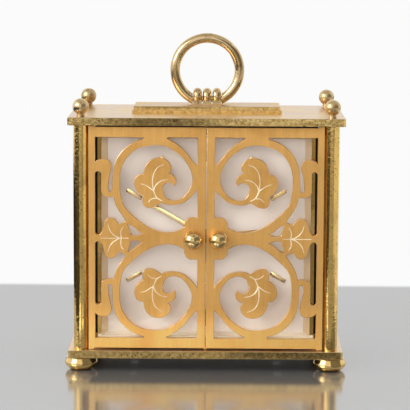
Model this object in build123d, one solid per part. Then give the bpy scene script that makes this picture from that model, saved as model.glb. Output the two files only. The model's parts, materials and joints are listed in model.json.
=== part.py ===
from build123d import *
import math
import os

# A desk clock: two plates on four columns, a square dial behind two pierced doors,
# and a mechanical movement inside the case.
# Millimetres. X to the right, Y to the rear, Z up. The origin lies on the surface that
# the clock stands on, below the middle of its plates.

# Plates
plate_width = 130.0
plate_depth = 72.0
plate_thickness = 3.7
plate_corner = 1.0
plate_edge = 0.2

# Feet
foot_height = 6.1
foot_radius = 7.7
foot_top_radius = 6.9
foot_flat_radius = 4.4
foot_shoulder = 0.4
foot_belly_share = 0.62

# Columns and finials
column_radius = 3.5
column_length = 106.9
column_inset = 5.96
stud_radius = 1.5
stud_depth = 3.0
finial_radius = 3.8
finial_centre_height = 4.7
finial_collar_radius = 1.9

# Fits
running_fit = 0.05
seat_gap = 0.25
clear_gap = 0.3

# Plinth
plinth_lower_width = 71.3
plinth_lower_depth = 25.0
plinth_lower_height = 1.65
plinth_upper_width = 69.8
plinth_upper_depth = 23.4
plinth_upper_height = 1.75
plinth_screw_spacing = 44.0

# Carrying ring and its knuckles
ring_radius = 15.46
ring_wire_radius = 2.34
ring_end_gap = 0.28
spindle_radius = 1.5
hinge_height = 2.72
knuckle_radius = 4.1
knuckle_length = 4.14
knuckle_pitch = 4.65
knuckle_centre_height = 3.95
knuckle_round = 1.95
knuckle_sole_inset = 0.1
knuckle_sole_height = 2.5
knuckle_sole_share = 0.85

# Doors
door_thickness = 2.0
door_setback = 0.74
door_side_gap = 0.2
door_meeting_gap = 0.25
door_rail_gap = 0.85
stile_width = 2.72
pivot_pin_radius = 0.6
pivot_pin_depth = 2.4
door_knob_radius = 4.6
door_knob_offset = 5.95
door_knob_reach = 5.5
door_knob_collar_radius = 2.3
door_knob_collar_length = 0.8
door_knob_stem_radius = 1.2
door_stop_radius = 1.2
door_stop_height = 2.6
door_stop_gap = 0.1

# Case
case_side_gap = 4.34
case_rail_gap = 5.45
case_setback = 1.5
case_rear_setback = 9.0
case_overhang = 2.4
case_wall = 1.2
case_corner_post = 3.2
case_corner_post_length = 12.0
case_corner_post_lap = 1.0
back_cover_thickness = 1.2
bezel_thickness = 0.9
bezel_side = 1.8
bezel_rail = 0.6
glass_thickness = 1.4
glass_lap = 0.6
surround_side = 4.6
surround_rail = 1.8
surround_depth = 5.6
dial_thickness = 1.0
flange_thickness = 1.2
flange_margin = 8.0
dial_screw_radius = 0.7
dial_screw_head_radius = 1.3
dial_screw_reach = 1.2
dial_screw_margin = 8.0
spacer_radius = 3.0
spacer_spacing_x = 70.0
spacer_spacing_y = 26.0

# Dial furniture
marker_margin = 2.6
marker_length = 8.2
marker_width = 2.0
marker_height = 0.6
hand_width = 2.1
hand_thickness = 0.5
minute_boss_radius = 2.6
hour_boss_radius = 3.2
hand_marker_gap = 0.9
hour_hand_share = 0.725
hand_tail_share = 0.2
hand_nut_lip = 0.4
hand_nut_height = 0.6
minute_hand_angle = 150.0
hour_hand_angle = 5.0

# Movement plates
movement_room = 3.8
movement_gap = 22.0
movement_plate_thickness = 1.5
dial_to_movement = 4.8
pillar_radius = 2.5
pillar_inset = 4.0
post_inset = 4.0
post_drop = 15.0
screw_radius = 1.0
screw_head_radius = 2.0
screw_head_height = 1.0
screw_depth = 2.6

# Wheel train
barrel_teeth = 84
centre_pinion_leaves = 14
barrel_module = 0.5
centre_teeth = 75
third_pinion_leaves = 10
centre_module = 0.4
third_teeth = 80
fourth_pinion_leaves = 10
third_module = 0.35
fourth_teeth = 80
escape_pinion_leaves = 8
fourth_module = 0.3
cannon_leaves = 12
minute_wheel_teeth = 36
motion_module = 0.5
minute_pinion_leaves = 10
hour_wheel_teeth = 40
hour_module = 0.48
setting_leaves = 12
wheel_thickness = 1.0
pinion_length = 2.4
arbor_radius = 0.8
pivot_radius = 0.5
fine_arbor_radius = 0.6
centre_arbor_radius = 0.8
centre_body_radius = 1.2
wheel_rim = 2.0
wheel_hub = 2.4
spoke_width = 1.6
spoke_count = 4
barrel_arbor_radius = 2.0
barrel_hub_radius = 3.0
barrel_depth = 12.0
barrel_wall = 0.8
barrel_rim = 1.5
cannon_tube_wall = 0.6
hour_tube_wall = 0.55

# Levels of the wheels, from the nearer plate
barrel_end_gap = 1.0
third_rise = 6.0
fourth_drop = 7.5
centre_drop = 4.0
escape_drop = 2.0
motion_drop = 1.6
hour_drop = 1.8

# Bearings of the axes, in degrees anticlockwise from +X as seen from the front
barrel_bearing = 225.0
third_bearing = 10.0
fourth_bearing = 100.0
escape_bearing = 170.0
pallet_bearing = 170.0
balance_bearing = 170.0
minute_wheel_bearing = -90.0
setting_bearing = -45.0

# Escapement
escape_radius = 5.0
escape_teeth = 15
escape_thickness = 0.5
escape_tooth_depth = 1.3
escape_tooth_lean = 9.0
escape_tooth_foot = 12.0
pallet_gap = 0.9
pallet_depth = 1.0
pallet_half_spread = 37.0
lever_width = 1.1
lever_hub_radius = 1.2
lever_fork_gap = 0.9
pallet_distance = 7.0
balance_distance = 9.0
balance_radius = 8.5
balance_rim = 1.2
balance_thickness = 1.2
balance_lift = 1.5
balance_bar_width = 1.6
balance_bar_turn = 60.0
roller_radius = 1.6
roller_height = 1.1
roller_lap = 0.3
hairspring_inner = 2.2
hairspring_pitch = 0.6
hairspring_half_turns = 13
hairspring_thickness = 0.16
hairspring_height = 0.5
hairspring_rise = 0.7
hairspring_stud_radius = 0.4
cock_height = 5.0
cock_thickness = 1.5
cock_foot_distance = 12.5
cock_foot_radius = 2.6
cock_arm_width = 4.4
cock_hub_radius = 2.8
cock_bearing = 135.0
index_length = 9.0
index_width = 1.4
index_thickness = 0.6
index_hub_radius = 2.3
index_bore_radius = 1.3
index_seat_height = 2.4

# Winding work
mainspring_inner = 4.6
mainspring_pitch = 2.0
mainspring_half_turns = 13
mainspring_thickness = 0.5
ratchet_radius = 7.0
ratchet_teeth = 24
ratchet_depth = 0.9
click_bearing = 100.0
click_distance = 9.6
click_length = 4.5
click_radius = 1.6
click_heel = 1.0
click_spring_length = 7.0
click_spring_shift = 2.2
click_spring_thickness = 0.4
click_spring_foot = 1.2
key_hub_radius = 3.4
key_hub_length = 6.0
key_wing_span = 20.0
key_wing_depth = 8.0
key_wing_thickness = 2.2
key_wing_lap = 1.0
key_wing_round_share = 0.45
key_eye_share = 0.24
key_eye_place_share = 0.3
knob_radius = 4.5
knob_length = 4.5
knob_teeth = 24
knob_flute_radius = 0.4
knob_flute_rise = 0.1

# Levels
base_bottom = foot_height
base_top = base_bottom + plate_thickness
top_bottom = base_top + column_length
top_top = top_bottom + plate_thickness
mid_height = (base_top + top_bottom) / 2
plinth_step = top_top + plinth_lower_height
plinth_top = plinth_step + plinth_upper_height
hinge_axis = plinth_top + hinge_height

# Places of the columns
column_x = plate_width / 2 - column_inset
column_y = plate_depth / 2 - column_inset

# The ring's ends stand clear of the outer knuckles
ring_end = knuckle_pitch + knuckle_length / 2 + ring_end_gap

# Door planes and pivots
door_front = door_setback - column_y - column_radius
door_back = door_front + door_thickness
door_outer = column_x - column_radius - door_side_gap
pivot_x = door_outer - stile_width / 2
pivot_y = (door_front + door_back) / 2
stop_y = door_back + door_stop_gap + door_stop_radius
leaf_width = door_outer - door_meeting_gap / 2
leaf_half = (top_bottom - base_top) / 2 - door_rail_gap
stile_half = (top_bottom - base_top) / 2 - seat_gap

# Case outline
case_half_width = column_x - column_radius - case_side_gap
case_half_height = (top_bottom - base_top) / 2 - case_rail_gap
shell_half_width = case_half_width + case_overhang
shell_half_height = case_half_height + case_overhang
inner_half_width = case_half_width - case_wall
inner_half_height = case_half_height - case_wall
case_floor = mid_height - shell_half_height
inner_floor = mid_height - inner_half_height
window_half_width = case_half_width - bezel_side
window_half_height = case_half_height - bezel_rail
dial_half_width = case_half_width - surround_side
dial_half_height = case_half_height - surround_rail
dial_screw_height = case_half_height - dial_screw_margin
flange_bore = min(case_half_width, case_half_height) - flange_margin

# Depths of the case, from the bezel to the rear
case_front = door_back + case_setback
bezel_back = case_front + bezel_thickness
glass_back = bezel_back + glass_thickness
dial_front = bezel_back + surround_depth
dial_back = dial_front + dial_thickness
flange_back = dial_back + flange_thickness
case_back = plate_depth / 2 - case_rear_setback
cover_back = case_back + back_cover_thickness

# Markers and hands
marker_outer = min(dial_half_width, dial_half_height) - marker_margin
minute_hand_length = marker_outer - marker_length - hand_marker_gap
hour_hand_length = minute_hand_length * hour_hand_share
cannon_tube_outer = centre_arbor_radius + cannon_tube_wall
hour_tube_inner = cannon_tube_outer + running_fit
hour_tube_outer = hour_tube_inner + hour_tube_wall
hour_hand_back = dial_front - marker_height - clear_gap
hour_hand_front = hour_hand_back - hand_thickness
minute_hand_back = hour_hand_front - clear_gap
minute_hand_front = minute_hand_back - hand_thickness
hand_nut_front = minute_hand_front - hand_nut_height

# Outline and depths of the movement
movement_half = min(inner_half_width, inner_half_height) - movement_room
pillar_offset = movement_half - pillar_inset
post_x = movement_half - post_inset
post_z = movement_half - post_drop
front_plate_front = dial_back + dial_to_movement
front_plate_back = front_plate_front + movement_plate_thickness
back_plate_front = front_plate_back + movement_gap
back_plate_back = back_plate_front + movement_plate_thickness

# Wheel levels: the barrel in front, then the third wheel, the fourth and the centre wheel
barrel_front = front_plate_back + barrel_end_gap
drum_front = barrel_front + wheel_thickness
drum_back = drum_front + barrel_depth
third_level = barrel_front + third_rise
fourth_level = back_plate_front - fourth_drop
centre_level = back_plate_front - centre_drop
escape_level = back_plate_front - escape_drop
motion_level = front_plate_front - motion_drop
hour_level = motion_level - hour_drop
balance_level = back_plate_back + balance_lift
hairspring_level = balance_level + balance_thickness + hairspring_rise
cock_level = back_plate_back + cock_height

# The mesh of a straight-sided wheel tooth and pinion leaf
wheel_addendum = 0.95
pinion_addendum = 0.7
dedendum = 1.35
wheel_tooth_share = 0.44
pinion_leaf_share = 0.38
tooth_foot_share = 1.35
tooth_tip_share = 0.45


def pitch_radius(teeth, module):
    return teeth * module / 2


def distance_of(driver_teeth, driven_teeth, module):
    return pitch_radius(driver_teeth, module) + pitch_radius(driven_teeth, module)


def beside(place, bearing, distance):
    angle = math.radians(bearing)
    return (place[0] + distance * math.cos(angle), place[1] + distance * math.sin(angle))


# Axes of the movement, as x and z
centre_axis = (0.0, mid_height)
barrel_axis = beside(
    centre_axis, barrel_bearing, distance_of(barrel_teeth, centre_pinion_leaves, barrel_module)
)
third_axis = beside(
    centre_axis, third_bearing, distance_of(centre_teeth, third_pinion_leaves, centre_module)
)
fourth_axis = beside(
    third_axis, fourth_bearing, distance_of(third_teeth, fourth_pinion_leaves, third_module)
)
escape_axis = beside(
    fourth_axis, escape_bearing, distance_of(fourth_teeth, escape_pinion_leaves, fourth_module)
)
pallet_axis = beside(escape_axis, pallet_bearing, pallet_distance)
balance_axis = beside(pallet_axis, balance_bearing, balance_distance)
minute_wheel_axis = beside(
    centre_axis, minute_wheel_bearing, distance_of(cannon_leaves, minute_wheel_teeth, motion_module)
)
setting_axis = beside(
    minute_wheel_axis, setting_bearing, distance_of(minute_wheel_teeth, setting_leaves, motion_module)
)
click_axis = beside(barrel_axis, click_bearing, click_distance)
cock_axis = beside(balance_axis, cock_bearing, cock_foot_distance)
hairspring_outer = hairspring_inner + hairspring_half_turns * hairspring_pitch / 2
drum_radius = pitch_radius(barrel_teeth, barrel_module) - barrel_rim


# Helpers

def through(sketch, front, back):
    """A sketch drawn in x and z, made solid from depth front to depth back."""
    return Rot(X=90) * Pos(0, 0, -back) * extrude(sketch, back - front)


def rod(place, radius, front, back):
    return through(Pos(*place) * Circle(radius), front, back)


def tube(place, outer, inner, front, back):
    return through(Pos(*place) * (Circle(outer) - Circle(inner)), front, back)


def slab(half_width, half_height, front, back):
    return through(Pos(0, mid_height) * Rectangle(2 * half_width, 2 * half_height), front, back)


def upright(place, radius, bottom, top):
    return Pos(place[0], place[1], bottom) * extrude(Circle(radius), top - bottom)


def four_places(x, y):
    return [(-x, -y), (x, -y), (-x, y), (x, y)]


def four_on_dial(x, z):
    return [(px, mid_height + pz) for px, pz in four_places(x, z)]


def mirrored(piece):
    """The same piece on the other side of the clock."""
    return mirror(piece, about=Plane.YZ)


def group(pieces):
    return Compound(children=list(pieces))


def at_bearing(distance, angle):
    return (distance * math.cos(angle), distance * math.sin(angle))


def toothed(teeth, module, addendum, share, first_tooth):
    """A straight-sided gear outline with a tooth centred on the bearing first_tooth."""
    radius = pitch_radius(teeth, module)
    tip = radius + addendum * module
    root = radius - dedendum * module
    half = share * math.pi / teeth
    points = []
    for tooth in range(teeth):
        middle = math.radians(first_tooth) + tooth * 2 * math.pi / teeth
        for distance, share in (
            (root, -tooth_foot_share),
            (tip, -tooth_tip_share),
            (tip, tooth_tip_share),
            (root, tooth_foot_share),
        ):
            points.append(at_bearing(distance, middle + share * half))
    return Polygon(*points, align=None)


def wheel_outline(teeth, module, first_tooth):
    return toothed(teeth, module, wheel_addendum, wheel_tooth_share, first_tooth)


def pinion_outline(teeth, module, first_tooth):
    return toothed(teeth, module, pinion_addendum, pinion_leaf_share, first_tooth)


def meshing(bearing, teeth, first_tooth, next_teeth):
    """The bearing of a tooth on the next gear when the first gear has one on first_tooth."""
    return bearing + 180 + teeth * (bearing - first_tooth) / next_teeth - 180 / next_teeth


def crossed(outline, rim_radius):
    """A wheel outline with its web cut away between the spokes."""
    web = Circle(rim_radius) - Circle(wheel_hub)
    for spoke in range(spoke_count):
        arm = Pos(rim_radius / 2, 0) * Rectangle(rim_radius + wheel_rim, spoke_width)
        web -= Rot(Z=360 * spoke / spoke_count) * arm
    return outline - web


def crossed_wheel(place, teeth, module, first_tooth, level):
    wheel = crossed(
        wheel_outline(teeth, module, first_tooth), pitch_radius(teeth, module) - wheel_rim
    )
    return through(Pos(*place) * wheel, level, level + wheel_thickness)


def spiral(inner, pitch, half_turns, thickness):
    """A flat spiral strip made of half circles."""
    def edge(shift):
        stops = [(-1) ** k * (inner + k * pitch / 2 + shift) for k in range(half_turns + 1)]
        arcs = []
        for k in range(half_turns):
            middle = (stops[k] + stops[k + 1]) / 2
            height = (-1) ** k * abs(stops[k] - stops[k + 1]) / 2
            arcs.append(ThreePointArc((stops[k], 0), (middle, height), (stops[k + 1], 0)))
        return stops, arcs

    outer_stops, outer_arcs = edge(thickness / 2)
    inner_stops, inner_arcs = edge(-thickness / 2)
    ends = [
        Line((outer_stops[0], 0), (inner_stops[0], 0)),
        Line((outer_stops[-1], 0), (inner_stops[-1], 0)),
    ]
    return make_face(outer_arcs + inner_arcs + ends)


def pinion_at(place, pinion, level):
    """A pinion that overlaps the wheel at that level by the same length on each side."""
    lap = (pinion_length - wheel_thickness) / 2
    return through(Pos(*place) * pinion, level - lap, level + wheel_thickness + lap)


def staff(place, radius):
    """An arbor between the movement plates with a pivot at each end."""
    body = rod(place, radius, front_plate_back + seat_gap, back_plate_front - seat_gap)
    return body + rod(place, pivot_radius, front_plate_front, back_plate_back)


# Phases: each gear stands in mesh with the one before it
centre_phase = 0.0
centre_pinion_phase = 0.0
barrel_phase = meshing(barrel_bearing, centre_pinion_leaves, centre_pinion_phase, barrel_teeth)
third_pinion_phase = meshing(third_bearing, centre_teeth, centre_phase, third_pinion_leaves)
third_phase = 0.0
fourth_pinion_phase = meshing(fourth_bearing, third_teeth, third_phase, fourth_pinion_leaves)
fourth_phase = 0.0
escape_pinion_phase = meshing(escape_bearing, fourth_teeth, fourth_phase, escape_pinion_leaves)
cannon_phase = 0.0
minute_wheel_phase = meshing(minute_wheel_bearing, cannon_leaves, cannon_phase, minute_wheel_teeth)
minute_pinion_phase = 0.0
hour_wheel_phase = meshing(
    minute_wheel_bearing + 180, minute_pinion_leaves, minute_pinion_phase, hour_wheel_teeth
)
setting_phase = meshing(setting_bearing, minute_wheel_teeth, minute_wheel_phase, setting_leaves)


# Framework

def plate(bottom):
    """A plate with bevelled upright corners and a fine bevel on its other edges."""
    blank = Pos(0, 0, bottom + plate_thickness / 2) * Box(plate_width, plate_depth, plate_thickness)
    blank = chamfer(blank.edges().filter_by(Axis.Z), plate_corner)
    rims = blank.faces().filter_by(Axis.Z).edges()
    blank = chamfer(rims, plate_edge)
    for place in four_places(column_x, column_y):
        blank -= upright(place, stud_radius, bottom, bottom + plate_thickness)
    return blank


def pivot_holes(bottom, top):
    """Holes for the two door pins and, between them, for the door stop."""
    places = [(-pivot_x, pivot_y), (pivot_x, pivot_y)]
    holes = [upright(place, pivot_pin_radius + running_fit, bottom, top) for place in places]
    return holes + [upright((0, stop_y), door_stop_radius, bottom, top)]


def base_plate():
    part = plate(base_bottom)
    for hole in pivot_holes(base_top - pivot_pin_depth, base_top):
        part -= hole
    for place in spacer_places():
        part -= upright(place, screw_radius, base_bottom, base_top)
        part -= upright(place, screw_head_radius, base_bottom, base_bottom + screw_head_height)
    return part


def top_plate():
    part = plate(top_bottom)
    for hole in pivot_holes(top_bottom, top_bottom + pivot_pin_depth):
        part -= hole
    for place in plinth_screw_places():
        part -= upright(place, screw_radius, top_bottom, top_top)
        part -= upright(place, screw_head_radius, top_bottom, top_bottom + screw_head_height)
    return part


def column(place):
    """A plain round column with a threaded stud at each end, drawn as plain cylinders."""
    post = upright(place, column_radius, base_top, top_bottom)
    return post + upright(place, stud_radius, base_bottom - stud_depth, top_top + stud_depth)


def finial(place):
    """A ball on a short collar, screwed on the column's upper stud."""
    centre = top_top + finial_centre_height
    ball = Pos(place[0], place[1], centre) * Sphere(finial_radius)
    collar = upright(place, finial_collar_radius, top_top, centre)
    return ball + collar - upright(place, stud_radius, top_top, top_top + stud_depth)


def foot(place):
    """A turned bun foot on the column's lower stud."""
    low = (foot_flat_radius, 0)
    high = (foot_top_radius, foot_height)
    shoulder = (foot_top_radius, foot_height - foot_shoulder)
    belly = (foot_radius, foot_height * foot_belly_share)
    side = Spline(low, belly, shoulder, tangents=[(1, 0.35), (-0.3, 1)])
    edges = [Line((0, 0), low), side, Line(shoulder, high), Line(high, (0, foot_height))]
    half = make_face(edges + [Line((0, foot_height), (0, 0))])
    bun = Pos(place[0], place[1], 0) * revolve(Plane.XZ * half, Axis.Z)
    return bun - upright(place, stud_radius, base_bottom - stud_depth, base_bottom)


def plinth_screw_places():
    return [(-plinth_screw_spacing / 2, 0), (plinth_screw_spacing / 2, 0)]


def plinth_layer(width, depth, bottom, height, hole_depth):
    layer = Pos(0, 0, bottom + height / 2) * Box(width, depth, height)
    layer = chamfer(layer.edges().group_by(Axis.Z)[-1], plate_edge)
    for place in plinth_screw_places():
        layer -= upright(place, screw_radius, bottom, bottom + hole_depth)
    return layer


def plinth_lower():
    return plinth_layer(
        plinth_lower_width, plinth_lower_depth, top_top, plinth_lower_height, plinth_lower_height
    )


def plinth_upper():
    return plinth_layer(
        plinth_upper_width, plinth_upper_depth, plinth_step, plinth_upper_height, screw_radius
    )


def screw_up(place, bottom, top):
    """A screw put in from below, its head sunk in the plate."""
    head = upright(place, screw_head_radius, bottom, bottom + screw_head_height)
    return head + upright(place, screw_radius, bottom, top)


def plate_screws():
    """The screws under the top plate for the plinth and under the base plate for the case."""
    plinth_end = plinth_step + screw_radius
    screws = [screw_up(place, top_bottom, plinth_end) for place in plinth_screw_places()]
    screws += [screw_up(place, base_bottom, inner_floor) for place in spacer_places()]
    return group(screws)


def knuckle(offset):
    """A rounded bead on a square-sided sole, bored for the spindle."""
    bead = Rot(Y=90) * Cylinder(knuckle_radius, knuckle_length)
    bead = fillet(bead.edges().filter_by(GeomType.CIRCLE), knuckle_round)
    bead = Pos(offset, 0, plinth_top + knuckle_centre_height) * bead
    sole_depth = 2 * knuckle_radius * knuckle_sole_share
    sole = Box(knuckle_length - 2 * knuckle_sole_inset, sole_depth, knuckle_sole_height)
    bead += Pos(offset, 0, plinth_top + knuckle_sole_height / 2) * sole
    bore = Rot(Y=90) * Cylinder(spindle_radius + running_fit, knuckle_length)
    below = Pos(offset, 0, plinth_top - knuckle_radius / 2) * Box(
        knuckle_length, 2 * knuckle_radius, knuckle_radius
    )
    return bead - Pos(offset, 0, hinge_axis) * bore - below


def handle_knuckles():
    return group(knuckle(step * knuckle_pitch) for step in (-1, 0, 1))


def ring_handle():
    """A round ring, open at the bottom, closed by the straight spindle it turns on."""
    drop = math.sqrt(ring_radius**2 - ring_end**2)
    centre = hinge_axis + drop
    ring = Pos(0, 0, centre) * Rot(X=90) * Torus(ring_radius, ring_wire_radius)
    gap = Pos(0, 0, hinge_axis) * Box(2 * ring_end, 4 * ring_wire_radius, drop)
    spindle = Pos(0, 0, hinge_axis) * Rot(Y=90) * Cylinder(
        spindle_radius, 2 * ring_end + ring_wire_radius / 2
    )
    return ring - gap + spindle


# Doors: one leaf is drawn in hundredths, across its width from the outer edge and up its
# half height from the middle. Each opening is repeated below the middle.
pierce_left = 5.7
pierce_right = 92.9
pierce_top = 90.9


def on_leaf(point):
    return (point[0] / 100 * leaf_width, point[1] / 100 * leaf_half)


def curve(*points):
    return Spline(*[on_leaf(point) for point in points])


def straight(start, end):
    return Line(on_leaf(start), on_leaf(end))


def bow(start, middle, end):
    return ThreePointArc(on_leaf(start), on_leaf(middle), on_leaf(end))


def outline(*edges):
    return make_face(list(edges))


ring_outer_top = [(47.2, 89.2), (36.1, 84.8), (28.7, 78.3), (23.7, 70.3), (21.5, 63.3), (20.4, 53.4)]
ring_outer_low = [(21.5, 37.3), (23.5, 29.5), (26.7, 23.4), (29.6, 19.2), (31.8, 15.0)]
ring_inner = [
    (65.2, 37.8),
    (68.9, 35.0),
    (73.6, 34.4),
    (79.0, 36.1),
    (83.7, 40.7),
    (86.9, 46.4),
    (88.4, 53.4),
    (87.5, 59.3),
    (84.9, 65.4),
    (80.2, 72.4),
    (73.6, 78.3),
    (66.9, 82.3),
    (57.8, 83.8),
    (46.8, 82.3),
    (40.1, 79.5),
    (33.4, 73.0),
    (28.7, 64.6),
    (26.6, 53.2),
    (27.5, 39.0),
    (30.7, 28.7),
    (35.4, 23.0),
    (41.6, 17.1),
    (49.9, 10.8),
    (60.2, 6.3),
    (67.8, 5.3),
    (74.3, 6.3),
    (81.9, 10.3),
]


def upper_outer_opening():
    """Between the stile, the rail, the scroll and the tendril, down into the slit."""
    corner = (pierce_left, pierce_top)
    blunt = (47.2, pierce_top)
    slit_right = (20.1, 44.1)
    slit_left = (17.0, 44.5)
    shoulder = (pierce_left, 68.3)
    return outline(
        straight(corner, blunt),
        straight(blunt, ring_outer_top[0]),
        curve(*ring_outer_top, slit_right),
        bow(slit_right, (18.6, 42.0), slit_left),
        curve(
            slit_left, (17.2, 50.8), (18.4, 57.6), (19.5, 64.6), (17.9, 69.6), (13.7, 71.3), shoulder
        ),
        straight(shoulder, corner),
    )


def upper_inner_opening():
    """The three-cornered opening between the scroll, the rail and the meeting stile."""
    start = (66.7, 89.9)
    left = (67.9, pierce_top)
    corner = (pierce_right, pierce_top)
    low = (pierce_right, 65.6)
    return outline(
        straight(start, left),
        straight(left, corner),
        straight(corner, low),
        curve(low, (87.6, 71.3), (83.7, 76.6), (78.3, 82.3), (72.3, 86.7), start),
    )


def main_opening():
    """The inside of the scroll, round the leaf that the curl carries."""
    curl_join = (pierce_right, 44.3)
    stem = (62.2, 32.3)
    low_notch = (46.8, 38.2)
    left_notch = (46.8, 57.6)
    right_notch = (68.3, 58.7)
    tip = (73.2, 47.0)
    lobe_start = ring_inner[-1]
    lobe_end = (89.6, 19.0)
    foot_of_stile = (pierce_right, 19.0)
    return outline(
        curve(curl_join, (89.6, 39.9), (84.9, 35.0), (80.2, 31.9), (73.6, 30.2), (66.9, 30.4), stem),
        curve(stem, (56.9, 28.7), (52.4, 27.4), (48.3, 28.3), (46.1, 33.1), low_notch),
        curve(low_notch, (42.5, 40.9), (39.8, 45.4), (39.0, 50.2), (40.8, 55.1), left_notch),
        curve(
            left_notch, (47.9, 63.5), (51.0, 68.8), (58.9, 72.6), (67.2, 70.0), (70.5, 63.9), right_notch
        ),
        curve(right_notch, (71.7, 57.2), (74.5, 53.6), tip),
        bow(tip, (68.5, 50.2), (63.4, 43.5)),
        straight((63.4, 43.5), ring_inner[0]),
        curve(*ring_inner),
        curve(lobe_start, (82.4, 15.2), (85.5, 18.4), lobe_end),
        straight(lobe_end, foot_of_stile),
        straight(foot_of_stile, curl_join),
    )


def side_opening():
    """The slot beside the stile, wide above the half leaf and narrow beside the tendril."""
    slot = 10.7
    top_left = (pierce_left, 57.8)
    top_right = (slot, 57.8)
    hook = (slot, 42.8)
    hook_end = ring_outer_low[0]
    lobe_notch = (25.8, 12.5)
    bottom_right = (10.8, 4.9)
    bottom_left = (pierce_left, 5.3)
    return outline(
        bow(top_left, (8.1, 60.3), top_right),
        straight(top_right, hook),
        curve(hook, (12.5, 38.6), (16.3, 37.1), hook_end),
        curve(*ring_outer_low),
        curve(ring_outer_low[-1], (29.3, 13.9), lobe_notch),
        curve(lobe_notch, (23.7, 15.8), (19.2, 18.4), (15.0, 16.5), (13.0, 11.8), bottom_right),
        bow(bottom_right, (8.3, 3.0), bottom_left),
        straight(bottom_left, top_left),
    )


def stem_opening():
    """The small three-cornered opening above the stem of the half leaf."""
    return outline(
        curve((33.3, 12.5), (36.9, 11.0), (40.5, 8.0), (46.4, 4.2)),
        curve((46.4, 4.2), (41.2, 2.3), (36.0, 2.7)),
        curve((36.0, 2.7), (35.2, 6.8), (33.3, 12.5)),
    )


def leaf_sketch():
    field = Pos(leaf_width / 2, 0) * Rectangle(leaf_width, 2 * leaf_half)
    field += Pos(stile_width / 2, 0) * Rectangle(stile_width, 2 * stile_half)
    for opening in (
        upper_outer_opening(),
        upper_inner_opening(),
        main_opening(),
        side_opening(),
        stem_opening(),
    ):
        field -= opening
        field -= mirror(opening, about=Plane.XZ)
    return field


def knob_place():
    return (-door_knob_offset, mid_height)


def door_left():
    sketch = Pos(-door_outer, mid_height) * leaf_sketch()
    leaf = through(sketch, door_front, door_back)
    for low in (mid_height - stile_half, mid_height + stile_half - pivot_pin_depth):
        leaf -= upright((-pivot_x, pivot_y), pivot_pin_radius, low, low + pivot_pin_depth)
    return leaf - rod(knob_place(), screw_radius, door_front, pivot_y)


def door_knob_left():
    """A ball knob on a small collar, with a stud that screws into the door."""
    place = knob_place()
    ball = Pos(place[0], door_front - door_knob_reach, place[1]) * Sphere(door_knob_radius)
    neck = rod(place, door_knob_collar_radius, door_front - door_knob_collar_length, door_front)
    neck += rod(place, door_knob_stem_radius, door_front - door_knob_reach, door_front)
    return ball + neck + rod(place, screw_radius, door_front - door_knob_collar_length, pivot_y)


def door_pins(side):
    """Two steel pins pressed into a stile, turning in the plates."""
    place = (side * pivot_x, pivot_y)
    length = 2 * pivot_pin_depth
    lows = (base_top - pivot_pin_depth + seat_gap, top_bottom - seat_gap - pivot_pin_depth)
    return group(upright(place, pivot_pin_radius, low, low + length) for low in lows)


def door_stops():
    """A short pin in each plate that both leaves close against."""
    low = upright(
        (0, stop_y), door_stop_radius, base_top - pivot_pin_depth, base_top + door_stop_height
    )
    high = upright(
        (0, stop_y), door_stop_radius, top_bottom - door_stop_height, top_bottom + pivot_pin_depth
    )
    return group([low, high])


# Case and dial

def dial_screw_places():
    beside_wall = inner_half_width - clear_gap - dial_screw_head_radius
    return four_on_dial(beside_wall, dial_screw_height)


def dial_screw_holes(front, back):
    return [rod(place, dial_screw_radius, front, back) for place in dial_screw_places()]


def bezel_frame():
    window = slab(window_half_width, window_half_height, case_front, bezel_back)
    return slab(case_half_width, case_half_height, case_front, bezel_back) - window


def dial_glass():
    return slab(
        window_half_width + glass_lap, window_half_height + glass_lap / 2, bezel_back, glass_back
    )


def dial_surround():
    """A frame that steps in from the glass to the dial with a sloping inner face."""
    front = Pos(0, mid_height) * Rectangle(2 * window_half_width, 2 * window_half_height)
    rear = Pos(0, mid_height) * Rectangle(2 * dial_half_width, 2 * dial_half_height)
    funnel = loft(
        [
            (Plane.XZ.offset(-glass_back) * front).face(),
            (Plane.XZ.offset(-dial_front) * rear).face(),
        ]
    )
    part = slab(case_half_width, case_half_height, bezel_back, dial_front) - funnel
    part -= dial_glass()
    for hole in dial_screw_holes(dial_front - dial_screw_reach, dial_front):
        part -= hole
    return part


def dial_plate():
    part = slab(
        inner_half_width - running_fit, inner_half_height - running_fit, dial_front, dial_back
    )
    for hole in dial_screw_holes(dial_front, dial_back):
        part -= hole
    return part - rod(centre_axis, hour_tube_outer + clear_gap, dial_front, dial_back)


def dial_screws():
    """Screws from behind the flange that hold the dial and its surround."""
    screws = []
    for place in dial_screw_places():
        shank = rod(place, dial_screw_radius, dial_front - dial_screw_reach, flange_back)
        head = rod(place, dial_screw_head_radius, flange_back, flange_back + screw_head_height)
        screws.append(shank + head)
    return group(screws)


def corner_post_places():
    inset = case_corner_post - case_corner_post_lap
    return four_on_dial(inner_half_width - inset, inner_half_height - inset)


def case_shell():
    """A square tube, a little wider than the bezel, with a flange for the dial inside it."""
    outer = slab(shell_half_width, shell_half_height, dial_front, case_back)
    inner = slab(inner_half_width, inner_half_height, dial_front, case_back)
    part = outer - inner
    flange = slab(inner_half_width, inner_half_height, dial_back, flange_back)
    flange -= rod(centre_axis, flange_bore, dial_back, flange_back)
    for hole in dial_screw_holes(dial_back, flange_back):
        flange -= hole
    part += flange
    for place in corner_post_places():
        post = rod(place, case_corner_post, case_back - case_corner_post_length, case_back)
        part += post & outer
    for place in corner_post_places():
        part -= rod(place, screw_radius, case_back - screw_depth * 2, case_back)
    for place in spacer_places():
        part -= upright(place, screw_radius, case_floor, inner_floor)
    return part


def rear_cover():
    part = slab(shell_half_width, shell_half_height, case_back, cover_back)
    for place in corner_post_places():
        part -= rod(place, screw_radius, case_back, cover_back)
    part -= rod(barrel_axis, key_hub_radius + clear_gap, case_back, cover_back)
    return part - rod(setting_axis, arbor_radius + clear_gap, case_back, cover_back)


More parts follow.
